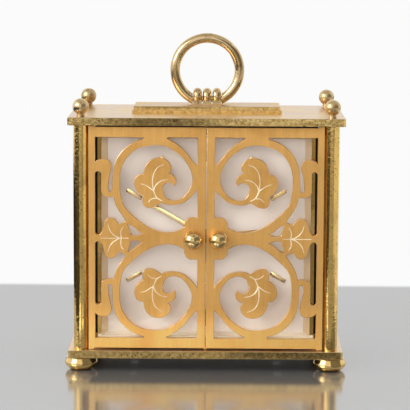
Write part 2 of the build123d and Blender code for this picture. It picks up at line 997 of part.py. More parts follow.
def screw_forward(place, seat, depth):
    """A screw put in from behind, with its head on the seat."""
    head = rod(place, screw_head_radius, seat, seat + screw_head_height)
    return head + rod(place, screw_radius, seat - depth, seat)


def rear_cover_screws():
    return group(
        screw_forward(place, cover_back, back_cover_thickness + screw_depth)
        for place in corner_post_places()
    )


def spacer_places():
    return four_places(spacer_spacing_x / 2, spacer_spacing_y / 2)


def case_spacers():
    """Short pillars that hold the case clear of the base plate."""
    return group(
        upright(place, spacer_radius, base_top, case_floor)
        - upright(place, screw_radius, base_top, case_floor)
        for place in spacer_places()
    )


def hour_markers():
    marks = []
    for hour in range(12):
        mark = Pos(marker_outer - marker_length / 2, 0) * Rectangle(marker_length, marker_width)
        mark = Pos(*centre_axis) * Rot(Z=30 * hour) * mark
        marks.append(through(mark, dial_front - marker_height, dial_front))
    return group(marks)


# Hands and motion work

def hand(length, angle, boss, bore, front, back):
    """A straight hand with a short tail and a round boss."""
    tail = length * hand_tail_share
    blade = Pos((length - tail) / 2, 0) * Rectangle(length + tail, hand_width)
    shape = Pos(*centre_axis) * Rot(Z=angle) * (blade + Circle(boss) - Circle(bore))
    return through(shape, front, back)


def hour_hand():
    return hand(
        hour_hand_length, hour_hand_angle, hour_boss_radius, hour_tube_outer,
        hour_hand_front, hour_hand_back,
    )


def minute_hand():
    return hand(
        minute_hand_length, minute_hand_angle, minute_boss_radius, cannon_tube_outer,
        minute_hand_front, minute_hand_back,
    )


def hand_nut():
    outer = cannon_tube_outer + hand_nut_lip
    return tube(centre_axis, outer, centre_arbor_radius, hand_nut_front, minute_hand_front)


def centre_wheel():
    """The centre wheel with its pinion and the arbor that carries the hands."""
    pinion = pinion_outline(centre_pinion_leaves, barrel_module, centre_pinion_phase)
    part = crossed_wheel(centre_axis, centre_teeth, centre_module, centre_phase, centre_level)
    part += pinion_at(centre_axis, pinion, barrel_front)
    part += staff(centre_axis, centre_body_radius)
    return part + rod(centre_axis, centre_arbor_radius, hand_nut_front, back_plate_back)


def cannon_pinion():
    pinion = pinion_outline(cannon_leaves, motion_module, cannon_phase)
    part = through(Pos(*centre_axis) * pinion, motion_level, motion_level + wheel_thickness)
    part += rod(centre_axis, cannon_tube_outer, minute_hand_front, motion_level)
    bore_end = motion_level + wheel_thickness
    return part - rod(centre_axis, centre_arbor_radius, minute_hand_front, bore_end)


def hour_wheel():
    wheel = wheel_outline(hour_wheel_teeth, hour_module, hour_wheel_phase)
    part = through(Pos(*centre_axis) * wheel, hour_level, hour_level + wheel_thickness)
    part += rod(centre_axis, hour_tube_outer, hour_hand_front, hour_level)
    return part - rod(centre_axis, hour_tube_inner, hour_hand_front, hour_level + wheel_thickness)


def minute_wheel():
    wheel = wheel_outline(minute_wheel_teeth, motion_module, minute_wheel_phase)
    part = through(Pos(*minute_wheel_axis) * wheel, motion_level, motion_level + wheel_thickness)
    pinion = pinion_outline(minute_pinion_leaves, hour_module, minute_pinion_phase)
    part += through(Pos(*minute_wheel_axis) * pinion, hour_level, motion_level)
    bore = arbor_radius + running_fit
    return part - rod(minute_wheel_axis, bore, hour_level, motion_level + wheel_thickness)


def setting_arbor():
    """The arbor that turns the hands from the rear, with its pinion in the motion work."""
    pinion = pinion_outline(setting_leaves, motion_module, setting_phase)
    part = through(Pos(*setting_axis) * pinion, motion_level, motion_level + wheel_thickness)
    return part + rod(setting_axis, arbor_radius, motion_level, cover_back + knob_length)


def setting_knob():
    """A knurled knob pressed on the setting arbor."""
    disc = Circle(knob_radius)
    for step in range(knob_teeth):
        flute = Pos(knob_radius + knob_flute_rise, 0) * Circle(knob_flute_radius)
        disc -= Rot(Z=360 * step / knob_teeth) * flute
    disc -= Circle(arbor_radius)
    return through(Pos(*setting_axis) * disc, cover_back + seat_gap * 2, cover_back + knob_length)


# Movement

def movement_plate(front, back):
    part = slab(movement_half, movement_half, front, back)
    for place in four_on_dial(pillar_offset, pillar_offset):
        part -= rod(place, screw_radius, front, back)
    for place in (third_axis, fourth_axis, escape_axis, pallet_axis):
        part -= rod(place, pivot_radius + running_fit, front, back)
    part -= rod(centre_axis, centre_arbor_radius + running_fit, front, back)
    part -= rod(barrel_axis, barrel_arbor_radius + running_fit, front, back)
    return part - rod(setting_axis, arbor_radius + running_fit, front, back)


def movement_front_plate():
    """The front plate, with the stud that the minute wheel turns on."""
    part = movement_plate(front_plate_front, front_plate_back)
    for place in post_places():
        part -= rod(place, screw_radius, front_plate_front, front_plate_back)
    part -= rod(balance_axis, pivot_radius + running_fit, front_plate_front, front_plate_back)
    return part + rod(minute_wheel_axis, arbor_radius, hour_level, front_plate_front)


def movement_back_plate():
    part = movement_plate(back_plate_front, back_plate_back)
    part -= rod(balance_axis, roller_radius + clear_gap, back_plate_front, back_plate_back)
    part -= rod(click_axis, screw_radius, back_plate_front, back_plate_back)
    return part - rod(cock_axis, screw_radius, back_plate_front, back_plate_back)


def movement_pillars():
    pillars = []
    for place in four_on_dial(pillar_offset, pillar_offset):
        pillar = rod(place, pillar_radius, front_plate_back, back_plate_front)
        pillar -= rod(place, screw_radius, front_plate_back, front_plate_back + screw_depth)
        pillar -= rod(place, screw_radius, back_plate_front - screw_depth, back_plate_front)
        pillars.append(pillar)
    return group(pillars)


def movement_screws():
    """The screws of the pillars, front and rear, of the posts, the click and the cock."""
    depth = movement_plate_thickness + screw_depth
    screws = []
    for place in four_on_dial(pillar_offset, pillar_offset):
        head_front = front_plate_front - screw_head_height
        head = rod(place, screw_head_radius, head_front, front_plate_front)
        screws.append(head + rod(place, screw_radius, head_front, front_plate_front + depth))
        screws.append(screw_forward(place, back_plate_back, depth))
    screws += [screw_forward(place, front_plate_back, depth) for place in post_places()]
    click_seat = back_plate_back + seat_gap + wheel_thickness + clear_gap
    screws.append(screw_forward(click_axis, click_seat, click_seat - back_plate_front))
    cock_seat = cock_level + cock_thickness
    screws.append(screw_forward(cock_axis, cock_seat, cock_seat - back_plate_front))
    return group(screws)


def post_places():
    return four_on_dial(post_x, post_z)


def movement_posts():
    """Pillars between the case flange and the front plate."""
    return group(
        tube(place, pillar_radius, screw_radius, flange_back, front_plate_front)
        for place in post_places()
    )


def barrel():
    """The great wheel with the drum that holds the mainspring."""
    wheel = wheel_outline(barrel_teeth, barrel_module, barrel_phase)
    part = through(Pos(*barrel_axis) * wheel, barrel_front, drum_front)
    part += tube(barrel_axis, drum_radius, drum_radius - barrel_wall, drum_front, drum_back)
    return part - rod(barrel_axis, barrel_arbor_radius + running_fit, barrel_front, drum_front)


def barrel_cover():
    bore = barrel_arbor_radius + running_fit
    return tube(barrel_axis, drum_radius - barrel_wall, bore, drum_back - barrel_wall, drum_back)


def mainspring():
    front = drum_front + seat_gap
    back = drum_back - barrel_wall - seat_gap
    strip = spiral(mainspring_inner, mainspring_pitch, mainspring_half_turns, mainspring_thickness)
    return through(Pos(*barrel_axis) * strip, front, back)


def barrel_arbor():
    """The winding arbor, with a hub inside the barrel and a stem out to the key."""
    front = drum_front + seat_gap
    back = drum_back - barrel_wall - seat_gap
    part = rod(barrel_axis, barrel_arbor_radius, front_plate_front, cover_back + key_hub_length / 2)
    return part + rod(barrel_axis, barrel_hub_radius, front, back)


def ratchet_wheel():
    points = []
    for tooth in range(ratchet_teeth):
        angle = 2 * math.pi * tooth / ratchet_teeth
        for radius in (ratchet_radius - ratchet_depth, ratchet_radius):
            points.append(at_bearing(radius, angle))
    disc = Polygon(*points, align=None) - Circle(barrel_arbor_radius)
    front = back_plate_back + seat_gap
    return through(Pos(*barrel_axis) * disc, front, front + wheel_thickness)


def click():
    """The pawl, resting just clear of the ratchet's tips, with a bore for its screw."""
    reach = math.sqrt((ratchet_radius + clear_gap) ** 2 - click_length**2)
    nose = (click_length, reach - click_distance)
    arm = Polygon((0, -click_heel), nose, (0, click_radius), align=None)
    shape = arm + Circle(click_radius) - Circle(screw_radius + running_fit)
    shape = Pos(*click_axis) * Rot(Z=click_bearing - 90) * shape
    front = back_plate_back + seat_gap
    return through(shape, front, front + wheel_thickness)


def click_spring():
    """A bent strip on the back plate that lies behind the click."""
    height = click_radius + clear_gap + click_spring_thickness / 2
    end = click_spring_shift + click_spring_length / 2
    strip = Pos(click_spring_shift, height) * Rectangle(click_spring_length, click_spring_thickness)
    strip += Pos(end, height) * Rectangle(click_spring_foot, click_spring_foot)
    shape = Pos(*click_axis) * Rot(Z=click_bearing - 90) * strip
    return through(shape, back_plate_back, back_plate_back + seat_gap + wheel_thickness)


def winding_key():
    """A hub with two pierced wings, fixed on the barrel arbor."""
    hub_front = cover_back + seat_gap * 2
    hub_back = cover_back + key_hub_length
    hub = rod(barrel_axis, key_hub_radius, hub_front, hub_back)
    wing = Pos(key_wing_span / 4, 0) * Rectangle(key_wing_span / 2, key_wing_depth)
    wing = fillet(wing.vertices().group_by(Axis.X)[-1], key_wing_depth * key_wing_round_share)
    wing -= Pos(key_wing_span * key_eye_place_share, 0) * Circle(key_wing_depth * key_eye_share)
    wings = wing + mirror(wing, about=Plane.YZ)
    blade = extrude(wings, key_wing_thickness / 2, both=True)
    blade_middle = hub_back + key_wing_depth / 2 - key_wing_lap
    part = hub + Pos(barrel_axis[0], blade_middle, barrel_axis[1]) * blade
    return part - rod(barrel_axis, barrel_arbor_radius, hub_front, cover_back + key_hub_length / 2)


def third_wheel():
    pinion = pinion_outline(third_pinion_leaves, centre_module, third_pinion_phase)
    part = staff(third_axis, arbor_radius) + pinion_at(third_axis, pinion, centre_level)
    return part + crossed_wheel(third_axis, third_teeth, third_module, third_phase, third_level)


def fourth_wheel():
    pinion = pinion_outline(fourth_pinion_leaves, third_module, fourth_pinion_phase)
    part = staff(fourth_axis, arbor_radius) + pinion_at(fourth_axis, pinion, third_level)
    return part + crossed_wheel(fourth_axis, fourth_teeth, fourth_module, fourth_phase, fourth_level)


def escape_wheel():
    """The escape wheel with slanted teeth and its pinion."""
    pinion = pinion_outline(escape_pinion_leaves, fourth_module, escape_pinion_phase)
    root = escape_radius - escape_tooth_depth
    points = []
    for tooth in range(escape_teeth):
        for radius, turn in ((root, 0), (escape_radius, escape_tooth_lean), (root, escape_tooth_foot)):
            angle = 2 * math.pi * tooth / escape_teeth + math.radians(turn)
            points.append(at_bearing(radius, angle))
    wheel = Pos(*escape_axis) * Polygon(*points, align=None)
    part = staff(escape_axis, fine_arbor_radius) + pinion_at(escape_axis, pinion, fourth_level)
    return part + through(wheel, escape_level, escape_level + escape_thickness)


def pallet_lever():
    """The lever on its arbor: two pallets round the escape wheel and a fork to the roller."""
    inner = escape_radius + pallet_gap
    corner = at_bearing(2 * (inner + pallet_depth), math.radians(pallet_half_spread))
    sector = Polygon((0, 0), corner, (corner[0], -corner[1]), align=None)
    band = Circle(inner + pallet_depth) - Circle(inner)
    anchor = Pos(*escape_axis) * Rot(Z=pallet_bearing) * (band & sector)
    reach = balance_distance - roller_radius - lever_fork_gap
    tail = Pos(reach / 2, 0) * Rectangle(reach, lever_width)
    lever = Pos(*pallet_axis) * Rot(Z=balance_bearing) * (tail + Circle(lever_hub_radius))
    shape = through(anchor + lever, escape_level, escape_level + escape_thickness)
    return staff(pallet_axis, fine_arbor_radius) + shape


def balance_wheel():
    """The balance with its staff and roller."""
    rim = Circle(balance_radius) - Circle(balance_radius - balance_rim)
    bar = Rectangle(2 * balance_radius - balance_rim, balance_bar_width) + Circle(balance_bar_width)
    shape = Pos(*balance_axis) * Rot(Z=balance_bearing - balance_bar_turn) * (rim + bar)
    part = through(shape, balance_level, balance_level + balance_thickness)
    part += rod(
        balance_axis, fine_arbor_radius, front_plate_back + seat_gap, cock_level - seat_gap
    )
    part += rod(balance_axis, pivot_radius, front_plate_front, cock_level + cock_thickness)
    roller_front = escape_level - roller_lap
    return part + rod(balance_axis, roller_radius, roller_front, roller_front + roller_height)


def hairspring():
    strip = spiral(hairspring_inner, hairspring_pitch, hairspring_half_turns, hairspring_thickness)
    return through(
        Pos(*balance_axis) * Rot(Z=cock_bearing + 180) * strip,
        hairspring_level,
        hairspring_level + hairspring_height,
    )


def balance_cock():
    """The bridge that carries the rear pivot of the balance, and the hairspring stud."""
    seat_top = cock_level + index_seat_height
    arm = Pos(cock_foot_distance / 2, 0) * Rectangle(cock_foot_distance, cock_arm_width)
    arm += Circle(cock_hub_radius)
    arm += Pos(cock_foot_distance, 0) * Circle(cock_foot_radius)
    arm = Pos(*balance_axis) * Rot(Z=cock_bearing) * arm
    part = through(arm, cock_level, cock_level + cock_thickness)
    part += rod(cock_axis, cock_foot_radius, back_plate_back, cock_level)
    part += rod(balance_axis, index_bore_radius - running_fit, cock_level, seat_top)
    stud = beside(balance_axis, cock_bearing, hairspring_outer)
    part += rod(stud, hairspring_stud_radius, hairspring_level + hairspring_height, cock_level)
    part -= rod(cock_axis, screw_radius, back_plate_back, cock_level + cock_thickness)
    return part - rod(balance_axis, pivot_radius + running_fit, cock_level, seat_top)


def regulator_index():
    """The small lever on the cock that sets the rate."""
    arm = Pos(index_length / 2, 0) * Rectangle(index_length, index_width)
    shape = arm + Circle(index_hub_radius) - Circle(index_bore_radius)
    shape = Pos(*balance_axis) * Rot(Z=cock_bearing + 180) * shape
    front = cock_level + cock_thickness
    return through(shape, front, front + index_thickness)


def parts():
    """Every sub-part by name."""
    columns = dict(
        zip(
            ("column_front_left", "column_front_right", "column_rear_left", "column_rear_right"),
            (column(place) for place in four_places(column_x, column_y)),
        )
    )
    return {
        "base_plate": base_plate(),
        "top_plate": top_plate(),
        **columns,
        "ball_finials": group(finial(place) for place in four_places(column_x, column_y)),
        "feet": group(foot(place) for place in four_places(column_x, column_y)),
        "plinth_lower": plinth_lower(),
        "plinth_upper": plinth_upper(),
        "plate_screws": plate_screws(),
        "handle_knuckles": handle_knuckles(),
        "ring_handle": ring_handle(),
        "door_left": door_left(),
        "door_right": mirrored(door_left()),
        "door_knob_left": door_knob_left(),
        "door_knob_right": mirrored(door_knob_left()),
        "door_pins_left": door_pins(-1),
        "door_pins_right": door_pins(1),
        "door_stops": door_stops(),
        "bezel_frame": bezel_frame(),
        "dial_glass": dial_glass(),
        "dial_surround": dial_surround(),
        "dial_plate": dial_plate(),
        "hour_markers": hour_markers(),
        "dial_screws": dial_screws(),
        "case_shell": case_shell(),
        "case_spacers": case_spacers(),
        "rear_cover": rear_cover(),
        "rear_cover_screws": rear_cover_screws(),
        "hour_hand": hour_hand(),
        "minute_hand": minute_hand(),
        "hand_nut": hand_nut(),
        "cannon_pinion": cannon_pinion(),
        "hour_wheel": hour_wheel(),
        "minute_wheel": minute_wheel(),
        "setting_arbor": setting_arbor(),
        "setting_knob": setting_knob(),
        "movement_front_plate": movement_front_plate(),
        "movement_back_plate": movement_back_plate(),
        "movement_pillars": movement_pillars(),
        "movement_posts": movement_posts(),
        "movement_screws": movement_screws(),
        "barrel": barrel(),
        "barrel_cover": barrel_cover(),
        "mainspring": mainspring(),
        "barrel_arbor": barrel_arbor(),
        "ratchet_wheel": ratchet_wheel(),
        "winding_key": winding_key(),
        "click": click(),
        "click_spring": click_spring(),
        "centre_wheel": centre_wheel(),
        "third_wheel": third_wheel(),
        "fourth_wheel": fourth_wheel(),
        "escape_wheel": escape_wheel(),
        "pallet_lever": pallet_lever(),
        "balance_wheel": balance_wheel(),
        "hairspring": hairspring(),
        "balance_cock": balance_cock(),
        "regulator_index": regulator_index(),
    }


os.makedirs("parts", exist_ok=True)
for name, shape in parts().items():
    shape.label = name
    export_step(shape, f"parts/{name}.step")
    print(name, round(shape.volume, 2))
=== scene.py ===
import json
import math

import bmesh
import bpy
from mathutils import Matrix, Vector


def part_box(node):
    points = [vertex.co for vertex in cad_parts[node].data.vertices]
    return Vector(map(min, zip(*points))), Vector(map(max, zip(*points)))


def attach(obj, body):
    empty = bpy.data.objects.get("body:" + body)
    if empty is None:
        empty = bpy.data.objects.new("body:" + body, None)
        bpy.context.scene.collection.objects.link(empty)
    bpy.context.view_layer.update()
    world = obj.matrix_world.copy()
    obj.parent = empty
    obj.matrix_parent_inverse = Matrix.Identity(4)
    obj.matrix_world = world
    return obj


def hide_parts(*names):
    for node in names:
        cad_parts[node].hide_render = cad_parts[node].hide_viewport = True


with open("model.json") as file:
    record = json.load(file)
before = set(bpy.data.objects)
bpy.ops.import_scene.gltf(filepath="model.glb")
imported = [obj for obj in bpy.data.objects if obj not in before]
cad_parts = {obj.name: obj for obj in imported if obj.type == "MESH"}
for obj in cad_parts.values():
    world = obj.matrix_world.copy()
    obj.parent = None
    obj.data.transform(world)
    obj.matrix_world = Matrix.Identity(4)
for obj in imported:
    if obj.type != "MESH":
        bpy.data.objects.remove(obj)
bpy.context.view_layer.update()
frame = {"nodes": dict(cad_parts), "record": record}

bl_info = {
    "name": "Gilt desk clock",
    "version": (1, 0, 0),
    "blender": (4, 5, 0),
    "location": "3D Viewport > Sidebar > Desk clock",
    "description": "Gilt finishes, engraving, dial and studio of a desk clock with pierced doors",
    "category": "Object",
}

MM = 0.001

# The camera, fitted to the plates, columns and doors: angles in degrees, place in millimetres.
PHOTO_WIDTH = 410
FOCAL_PIXELS = 2074.2
SENSOR_WIDTH = 36.0
CAMERA_YAW, CAMERA_PITCH, CAMERA_ROLL = -0.411, 7.777, 0.313
CAMERA_PLACE = (6.4, -998.1, 211.1)

# Meshes: the distance within which corners merge, and angles in degrees.
MERGE_DISTANCE = 0.002 * MM
FLAT_ANGLE = 0.4
SMOOTH_ANGLE = 32.0
BEVEL_ANGLE = 40.0

# How fine the brush lines are along each axis. They run along the axis with the low number.
UPRIGHT_LINES = (1500.0, 1500.0, 90.0)
LENGTHWISE_LINES = (120.0, 1500.0, 1500.0)
PLATE_LINES = (160.0, 1700.0, 1700.0)
DIAL_LINES = (2200.0, 2200.0, 90.0)

# The doors' painted light: heights near the bottom and top rail between which the gilding turns
# paler, and its value there.
DOOR_RAIL_LIGHT = ((0.035, 0.015, 1.3), (0.1, 0.112, 0.95))
# Its value between the bottom and top rail.
DOOR_VALUE = 0.85

# Heights between which the case turns to gilt, and the bezel's lower bar to a painted highlight.
CASE_FOOT = (0.0162, 0.0158)
BEZEL_LEDGE = (0.017, 0.0164)

# A painted dark reflection on the plates' edges: its middle from left to right, and its reach.
DARK_REFLECTION_MIDDLE = -0.021
DARK_REFLECTION_REACH = (0.005, 0.04)

# Painted shade at the bottom of the screws' slots, and its paler patches.
SLOT_SHADE = (0.05, 0.045, 0.04)
SLOT_SHADE_PATCHES = (0.09, 0.08, 0.07)


# Settings that a user would change


class ClockDoorSizes(bpy.types.PropertyGroup):
    """Sizes of the doors' polished edges and engraved veins."""

    edge_width: bpy.props.FloatProperty(
        name="Edge width",
        description="Width of the polished bevel round each opening",
        default=0.16 * MM,
        unit="LENGTH",
    )
    vein_radius: bpy.props.FloatProperty(
        name="Vein tool radius",
        description="Radius of the round tool that cuts the veins",
        default=0.36 * MM,
        unit="LENGTH",
    )
    vein_lift: bpy.props.FloatProperty(
        name="Vein tool lift",
        description="How far the tool's centre runs in front of the door's face",
        default=0.19 * MM,
        unit="LENGTH",
    )


class ClockTrimSizes(bpy.types.PropertyGroup):
    """Sizes of the softened edges and of the screws' slots."""

    marker_edge: bpy.props.FloatProperty(
        name="Marker edge",
        description="Bevel on the hour markers and the hands",
        default=0.14 * MM,
        unit="LENGTH",
    )
    slot_width: bpy.props.FloatProperty(
        name="Slot width",
        description="Width of a screw's slot",
        default=0.65 * MM,
        unit="LENGTH",
    )
    slot_depth: bpy.props.FloatProperty(
        name="Slot depth",
        description="Depth of a screw's slot",
        default=0.5 * MM,
        unit="LENGTH",
    )


def colour_setting(name, description, value):
    """A colour that the panel shows."""
    return bpy.props.FloatVectorProperty(
        name=name, description=description, default=value, size=3, subtype="COLOR", min=0.0, max=1.0
    )


class ClockColours(bpy.types.PropertyGroup):
    """Colours of the finishes."""

    door: colour_setting("Door gilt", "Satin gilding of the doors", (0.98, 0.55, 0.165))
    door_deep: colour_setting("Door gilt, deep", "Duller patches of the doors", (0.86, 0.46, 0.125))
    # The veins' pale colour is a painted highlight of the cut grooves.
    vein: colour_setting("Veins", "Cut grooves in the leaves of the doors", (1.0, 0.87, 0.6))
    polished: colour_setting("Polished gilt", "Feet, key and rubbed patches", (0.86, 0.60, 0.24))
    polished_deep: colour_setting("Polished gilt, deep", "Its handled patches", (0.70, 0.46, 0.16))
    knob: colour_setting("Knob gilt", "Balls on the doors", (0.84, 0.61, 0.28))
    worn: colour_setting("Worn gilt", "Finials, ring and knuckles", (0.77, 0.58, 0.32))
    worn_deep: colour_setting("Worn gilt, deep", "Its handled patches", (0.60, 0.42, 0.2))
    plate: colour_setting("Plate gilt", "Brushed faces of the plates", (0.79, 0.585, 0.38))
    plate_edge: colour_setting("Plate edge", "Mottled edges of the plates", (0.66, 0.44, 0.145))
    plate_shine: colour_setting("Plate edge, bright", "Rubbed spots there", (1.0, 0.73, 0.31))
    column: colour_setting("Column gilt", "The four columns", (0.92, 0.63, 0.21))
    bezel: colour_setting("Bezel gilt", "Frame round the dial glass", (0.48, 0.295, 0.075))
    surround: colour_setting("Surround", "Sloping frame round the dial", (0.78, 0.6, 0.37))
    # Pale colour of the painted highlight on the faces round the dial that look up.
    ledge_highlight: colour_setting("Ledge highlight", "On the lower bars round the dial", (1.0, 0.9, 0.7))
    case: colour_setting("Case gilt", "Rear cover", (0.74, 0.50, 0.20))
    # Near black on the case sides: painted shade for the dark gaps round the dial.
    gap_shade: colour_setting("Case shade", "Case sides", (0.014, 0.012, 0.011))
    dial: colour_setting("Dial", "Silvered dial", (0.94, 0.86, 0.78))
    marker: colour_setting("Marker gilt", "Hour markers and hands", (0.66, 0.48, 0.22))
    brass: colour_setting("Movement brass", "Plates and wheels", (0.72, 0.48, 0.20))
    steel: colour_setting("Steel", "Arbors, pins and screws", (0.52, 0.52, 0.53))
    blued: colour_setting("Blued steel", "Springs and hairspring", (0.05, 0.07, 0.16))


class ClockStudio(bpy.types.PropertyGroup):
    """The floor, the backdrop and the light."""

    floor_span: bpy.props.FloatProperty(
        name="Floor span", description="Side of the floor", default=12.0, unit="LENGTH"
    )
    backdrop: colour_setting("Backdrop", "White behind the clock", (0.965, 0.965, 0.965))
    floor_tone: bpy.props.FloatProperty(
        name="Floor tone", description="Paleness of the floor", default=0.12, min=0.0, max=1.0
    )
    floor_gloss: bpy.props.FloatProperty(
        name="Floor gloss", description="Share of the floor's sheen", default=0.46, min=0.0, max=1.0
    )
    floor_reach: bpy.props.FloatProperty(
        name="Floor reach",
        description="Distance from the clock at which the floor fades into the backdrop",
        default=0.2,
        unit="LENGTH",
    )
    table_reach: bpy.props.FloatProperty(
        name="Table reach",
        description="Half the side of the floor that the camera sees",
        default=0.6,
        unit="LENGTH",
    )
    key_power: bpy.props.FloatProperty(
        name="Key", description="Power of the key softbox", default=10.0, unit="POWER"
    )
    fill_power: bpy.props.FloatProperty(
        name="Fill", description="Power of the fill softbox", default=5.8, unit="POWER"
    )
    top_power: bpy.props.FloatProperty(
        name="Top", description="Power of the overhead softbox", default=7.8, unit="POWER"
    )
    front_power: bpy.props.FloatProperty(
        name="Front", description="Power of the front softbox", default=4.9, unit="POWER"
    )
    ambient: bpy.props.FloatProperty(
        name="Ambient", description="Light from all round", default=0.56, min=0.0, max=1.0
    )


# Node helpers


def put(tree, kind, settings=None, **sockets):
    """Adds a node. A socket is given by its name, or by in and its number."""
    node = tree.nodes.new("ShaderNode" + kind)
    for key, value in (settings or {}).items():
        setattr(node, key, value)
    for label, value in sockets.items():
        if label.startswith("in") and label[2:].isdigit():
            socket = node.inputs[int(label[2:])]
        else:
            socket = node.inputs[label.replace("_", " ")]
        if isinstance(value, bpy.types.NodeSocket):
            tree.links.new(value, socket)
        else:
            socket.default_value = value
    return node


def new_group(name, inputs, outputs):
    """An empty node group with named sockets, and its entry and exit nodes."""
    tree = bpy.data.node_groups.new(name, "ShaderNodeTree")
    for label, kind, value in inputs:
        socket = tree.interface.new_socket(name=label, in_out="INPUT", socket_type=kind)
        socket.default_value = value
    for label in outputs:
        tree.interface.new_socket(name=label, in_out="OUTPUT", socket_type="NodeSocketFloat")
    return tree, tree.nodes.new("NodeGroupInput"), tree.nodes.new("NodeGroupOutput")


def brush_lines_group():
    """Fine parallel lines: a height and a shade that vary across them."""
    tree, start, end = new_group(
        "Brush lines", [("Vector", "NodeSocketVector", (0, 0, 0)),
                        ("Spread", "NodeSocketVector", (1, 1, 1))], ["Height", "Shade"])
    stretched = put(tree, "VectorMath", {"operation": "MULTIPLY"},
                    in0=start.outputs["Vector"], in1=start.outputs["Spread"])
    fine = put(tree, "TexNoise", Vector=stretched.outputs[0], Scale=1.0, Detail=3.0, Roughness=0.65)
    coarse = put(tree, "TexNoise", Vector=stretched.outputs[0], Scale=0.22, Detail=2.0)
    both = put(tree, "Math", {"operation": "ADD"}, in0=fine.outputs[0], in1=coarse.outputs[0])
    shade = put(tree, "MapRange", Value=both.outputs[0], From_Min=0.75, From_Max=1.25)
    tree.links.new(fine.outputs[0], end.inputs["Height"])
    tree.links.new(shade.outputs[0], end.inputs["Shade"])
    return tree


def handling_group():
    """Soft patches left by hands and polishing."""
    tree, start, end = new_group(
        "Handling", [("Vector", "NodeSocketVector", (0, 0, 0)), ("Size", "NodeSocketFloat", 60.0),
                     ("Start", "NodeSocketFloat", 0.45), ("End", "NodeSocketFloat", 0.7)], ["Mask"])
    cloud = put(tree, "TexNoise", Vector=start.outputs["Vector"], Scale=start.outputs["Size"],
                Detail=4.0, Roughness=0.55, Distortion=0.4)
    mask = put(tree, "MapRange", {"interpolation_type": "SMOOTHSTEP"}, Value=cloud.outputs[0],
               From_Min=start.outputs["Start"], From_Max=start.outputs["End"])
    tree.links.new(mask.outputs[0], end.inputs["Mask"])
    return tree


def mottle_group():
    """The restless surface of old polished gilding: tiny dents and dark specks."""
    tree, start, end = new_group(
        "Mottle", [("Vector", "NodeSocketVector", (0, 0, 0)),
                   ("Size", "NodeSocketFloat", 900.0),
                   ("Start", "NodeSocketFloat", 0.5)], ["Height", "Specks"])
    dents = put(tree, "TexNoise", Vector=start.outputs["Vector"], Scale=start.outputs["Size"],
                Detail=3.0, Roughness=0.6)
    cells = put(tree, "TexVoronoi", Vector=start.outputs["Vector"], Scale=start.outputs["Size"])
    specks = put(tree, "MapRange", Value=cells.outputs["Distance"], From_Min=0.34, From_Max=0.16)
    cloud = put(tree, "TexNoise", Vector=start.outputs["Vector"], Scale=120.0, Detail=2.0)
    where = put(tree, "MapRange", Value=cloud.outputs[0], From_Min=start.outputs["Start"],
                From_Max=0.62)
    both = put(tree, "Math", {"operation": "MULTIPLY"}, in0=specks.outputs[0], in1=where.outputs[0])
    tree.links.new(dents.outputs[0], end.inputs["Height"])
    tree.links.new(both.outputs[0], end.inputs["Specks"])
    return tree


GROUPS = {}


def grouped(tree, name, **sockets):
    """Adds one of the shared groups as a node."""
    return put(tree, "Group", {"node_tree": GROUPS[name]}, **sockets)


def opaque(colour):
    """A colour with its alpha."""
    return (*colour, 1.0)


def new_material(name):
    """An empty material: itself, its tree, its output and the Object coordinates."""
    material = bpy.data.materials.new(name)
    material.use_nodes = True
    tree = material.node_tree
    tree.nodes.clear()
    return material, tree, put(tree, "OutputMaterial"), put(tree, "TexCoord").outputs["Object"]


def mixed(tree, factor, first, second):
    """A mix of two colours."""
    return put(tree, "Mix", {"data_type": "RGBA"}, in0=factor, in6=first, in7=second).outputs[2]


def ranged(tree, value, low, high):
    """A value from 0 to 1 stretched from low to high."""
    return put(tree, "MapRange", Value=value, To_Min=low, To_Max=high).outputs[0]


def brushed_gilt(name, bright, deep, spread, rough, depth, metallic=1.0, rail_light=None):
    """Satin gilding with brush lines, worn into patches, and with painted light that makes it paler
    near the given heights.
    """
    material, tree, out, place = new_material(name)
    lines = grouped(tree, "brush", Vector=place, Spread=spread)
    worn = grouped(tree, "handling", Vector=place, Size=55.0)
    patches = mixed(tree, worn.outputs["Mask"], opaque(bright), opaque(deep))
    dull = put(tree, "HueSaturation", Value=0.88, Color=patches)
    tone = mixed(tree, lines.outputs["Shade"], patches, dull.outputs[0])
    # Painted light: the tone turns paler near the bottom and top rail.
    if rail_light:
        height = put(tree, "SeparateXYZ", in0=place).outputs["Z"]
        low, high = (put(tree, "MapRange", {"interpolation_type": "SMOOTHSTEP"}, Value=height,
                         From_Min=start, From_Max=end, To_Min=DOOR_VALUE,
                         To_Max=value).outputs[0]
                     for start, end, value in rail_light)
        share = put(tree, "Math", {"operation": "MAXIMUM"}, in0=low, in1=high)
        tone = put(tree, "HueSaturation", Value=share.outputs[0], Color=tone).outputs[0]
    bump = put(tree, "Bump", Strength=0.35, Distance=depth, Height=lines.outputs["Height"])
    shader = put(tree, "BsdfPrincipled", Metallic=metallic, Base_Color=tone,
                 Roughness=ranged(tree, lines.outputs["Shade"], rough - 0.05, rough + 0.07),
                 Normal=bump.outputs[0])
    tree.links.new(shader.outputs[0], out.inputs["Surface"])
    return material


def polished_gilt(name, bright, deep, rough, dent_depth, dent_size=900.0, speck_start=0.5):
    """Mirror gilding with tiny dents, specks and handled patches."""
    material, tree, out, place = new_material(name)
    mottle = grouped(tree, "mottle", Vector=place, Size=dent_size, Start=speck_start)
    worn = grouped(tree, "handling", Vector=place, Size=85.0)
    patches = mixed(tree, worn.outputs["Mask"], opaque(bright), opaque(deep))
    dark = put(tree, "HueSaturation", Value=0.45, Color=patches)
    tone = mixed(tree, mottle.outputs["Specks"], patches, dark.outputs[0])
    bump = put(tree, "Bump", Strength=0.5, Distance=dent_depth, Height=mottle.outputs["Height"])
    shader = put(tree, "BsdfPrincipled", Metallic=1.0, Base_Color=tone,
                 Roughness=ranged(tree, worn.outputs["Mask"], rough, rough + 0.12),
                 Normal=bump.outputs[0])
    tree.links.new(shader.outputs[0], out.inputs["Surface"])
    return material


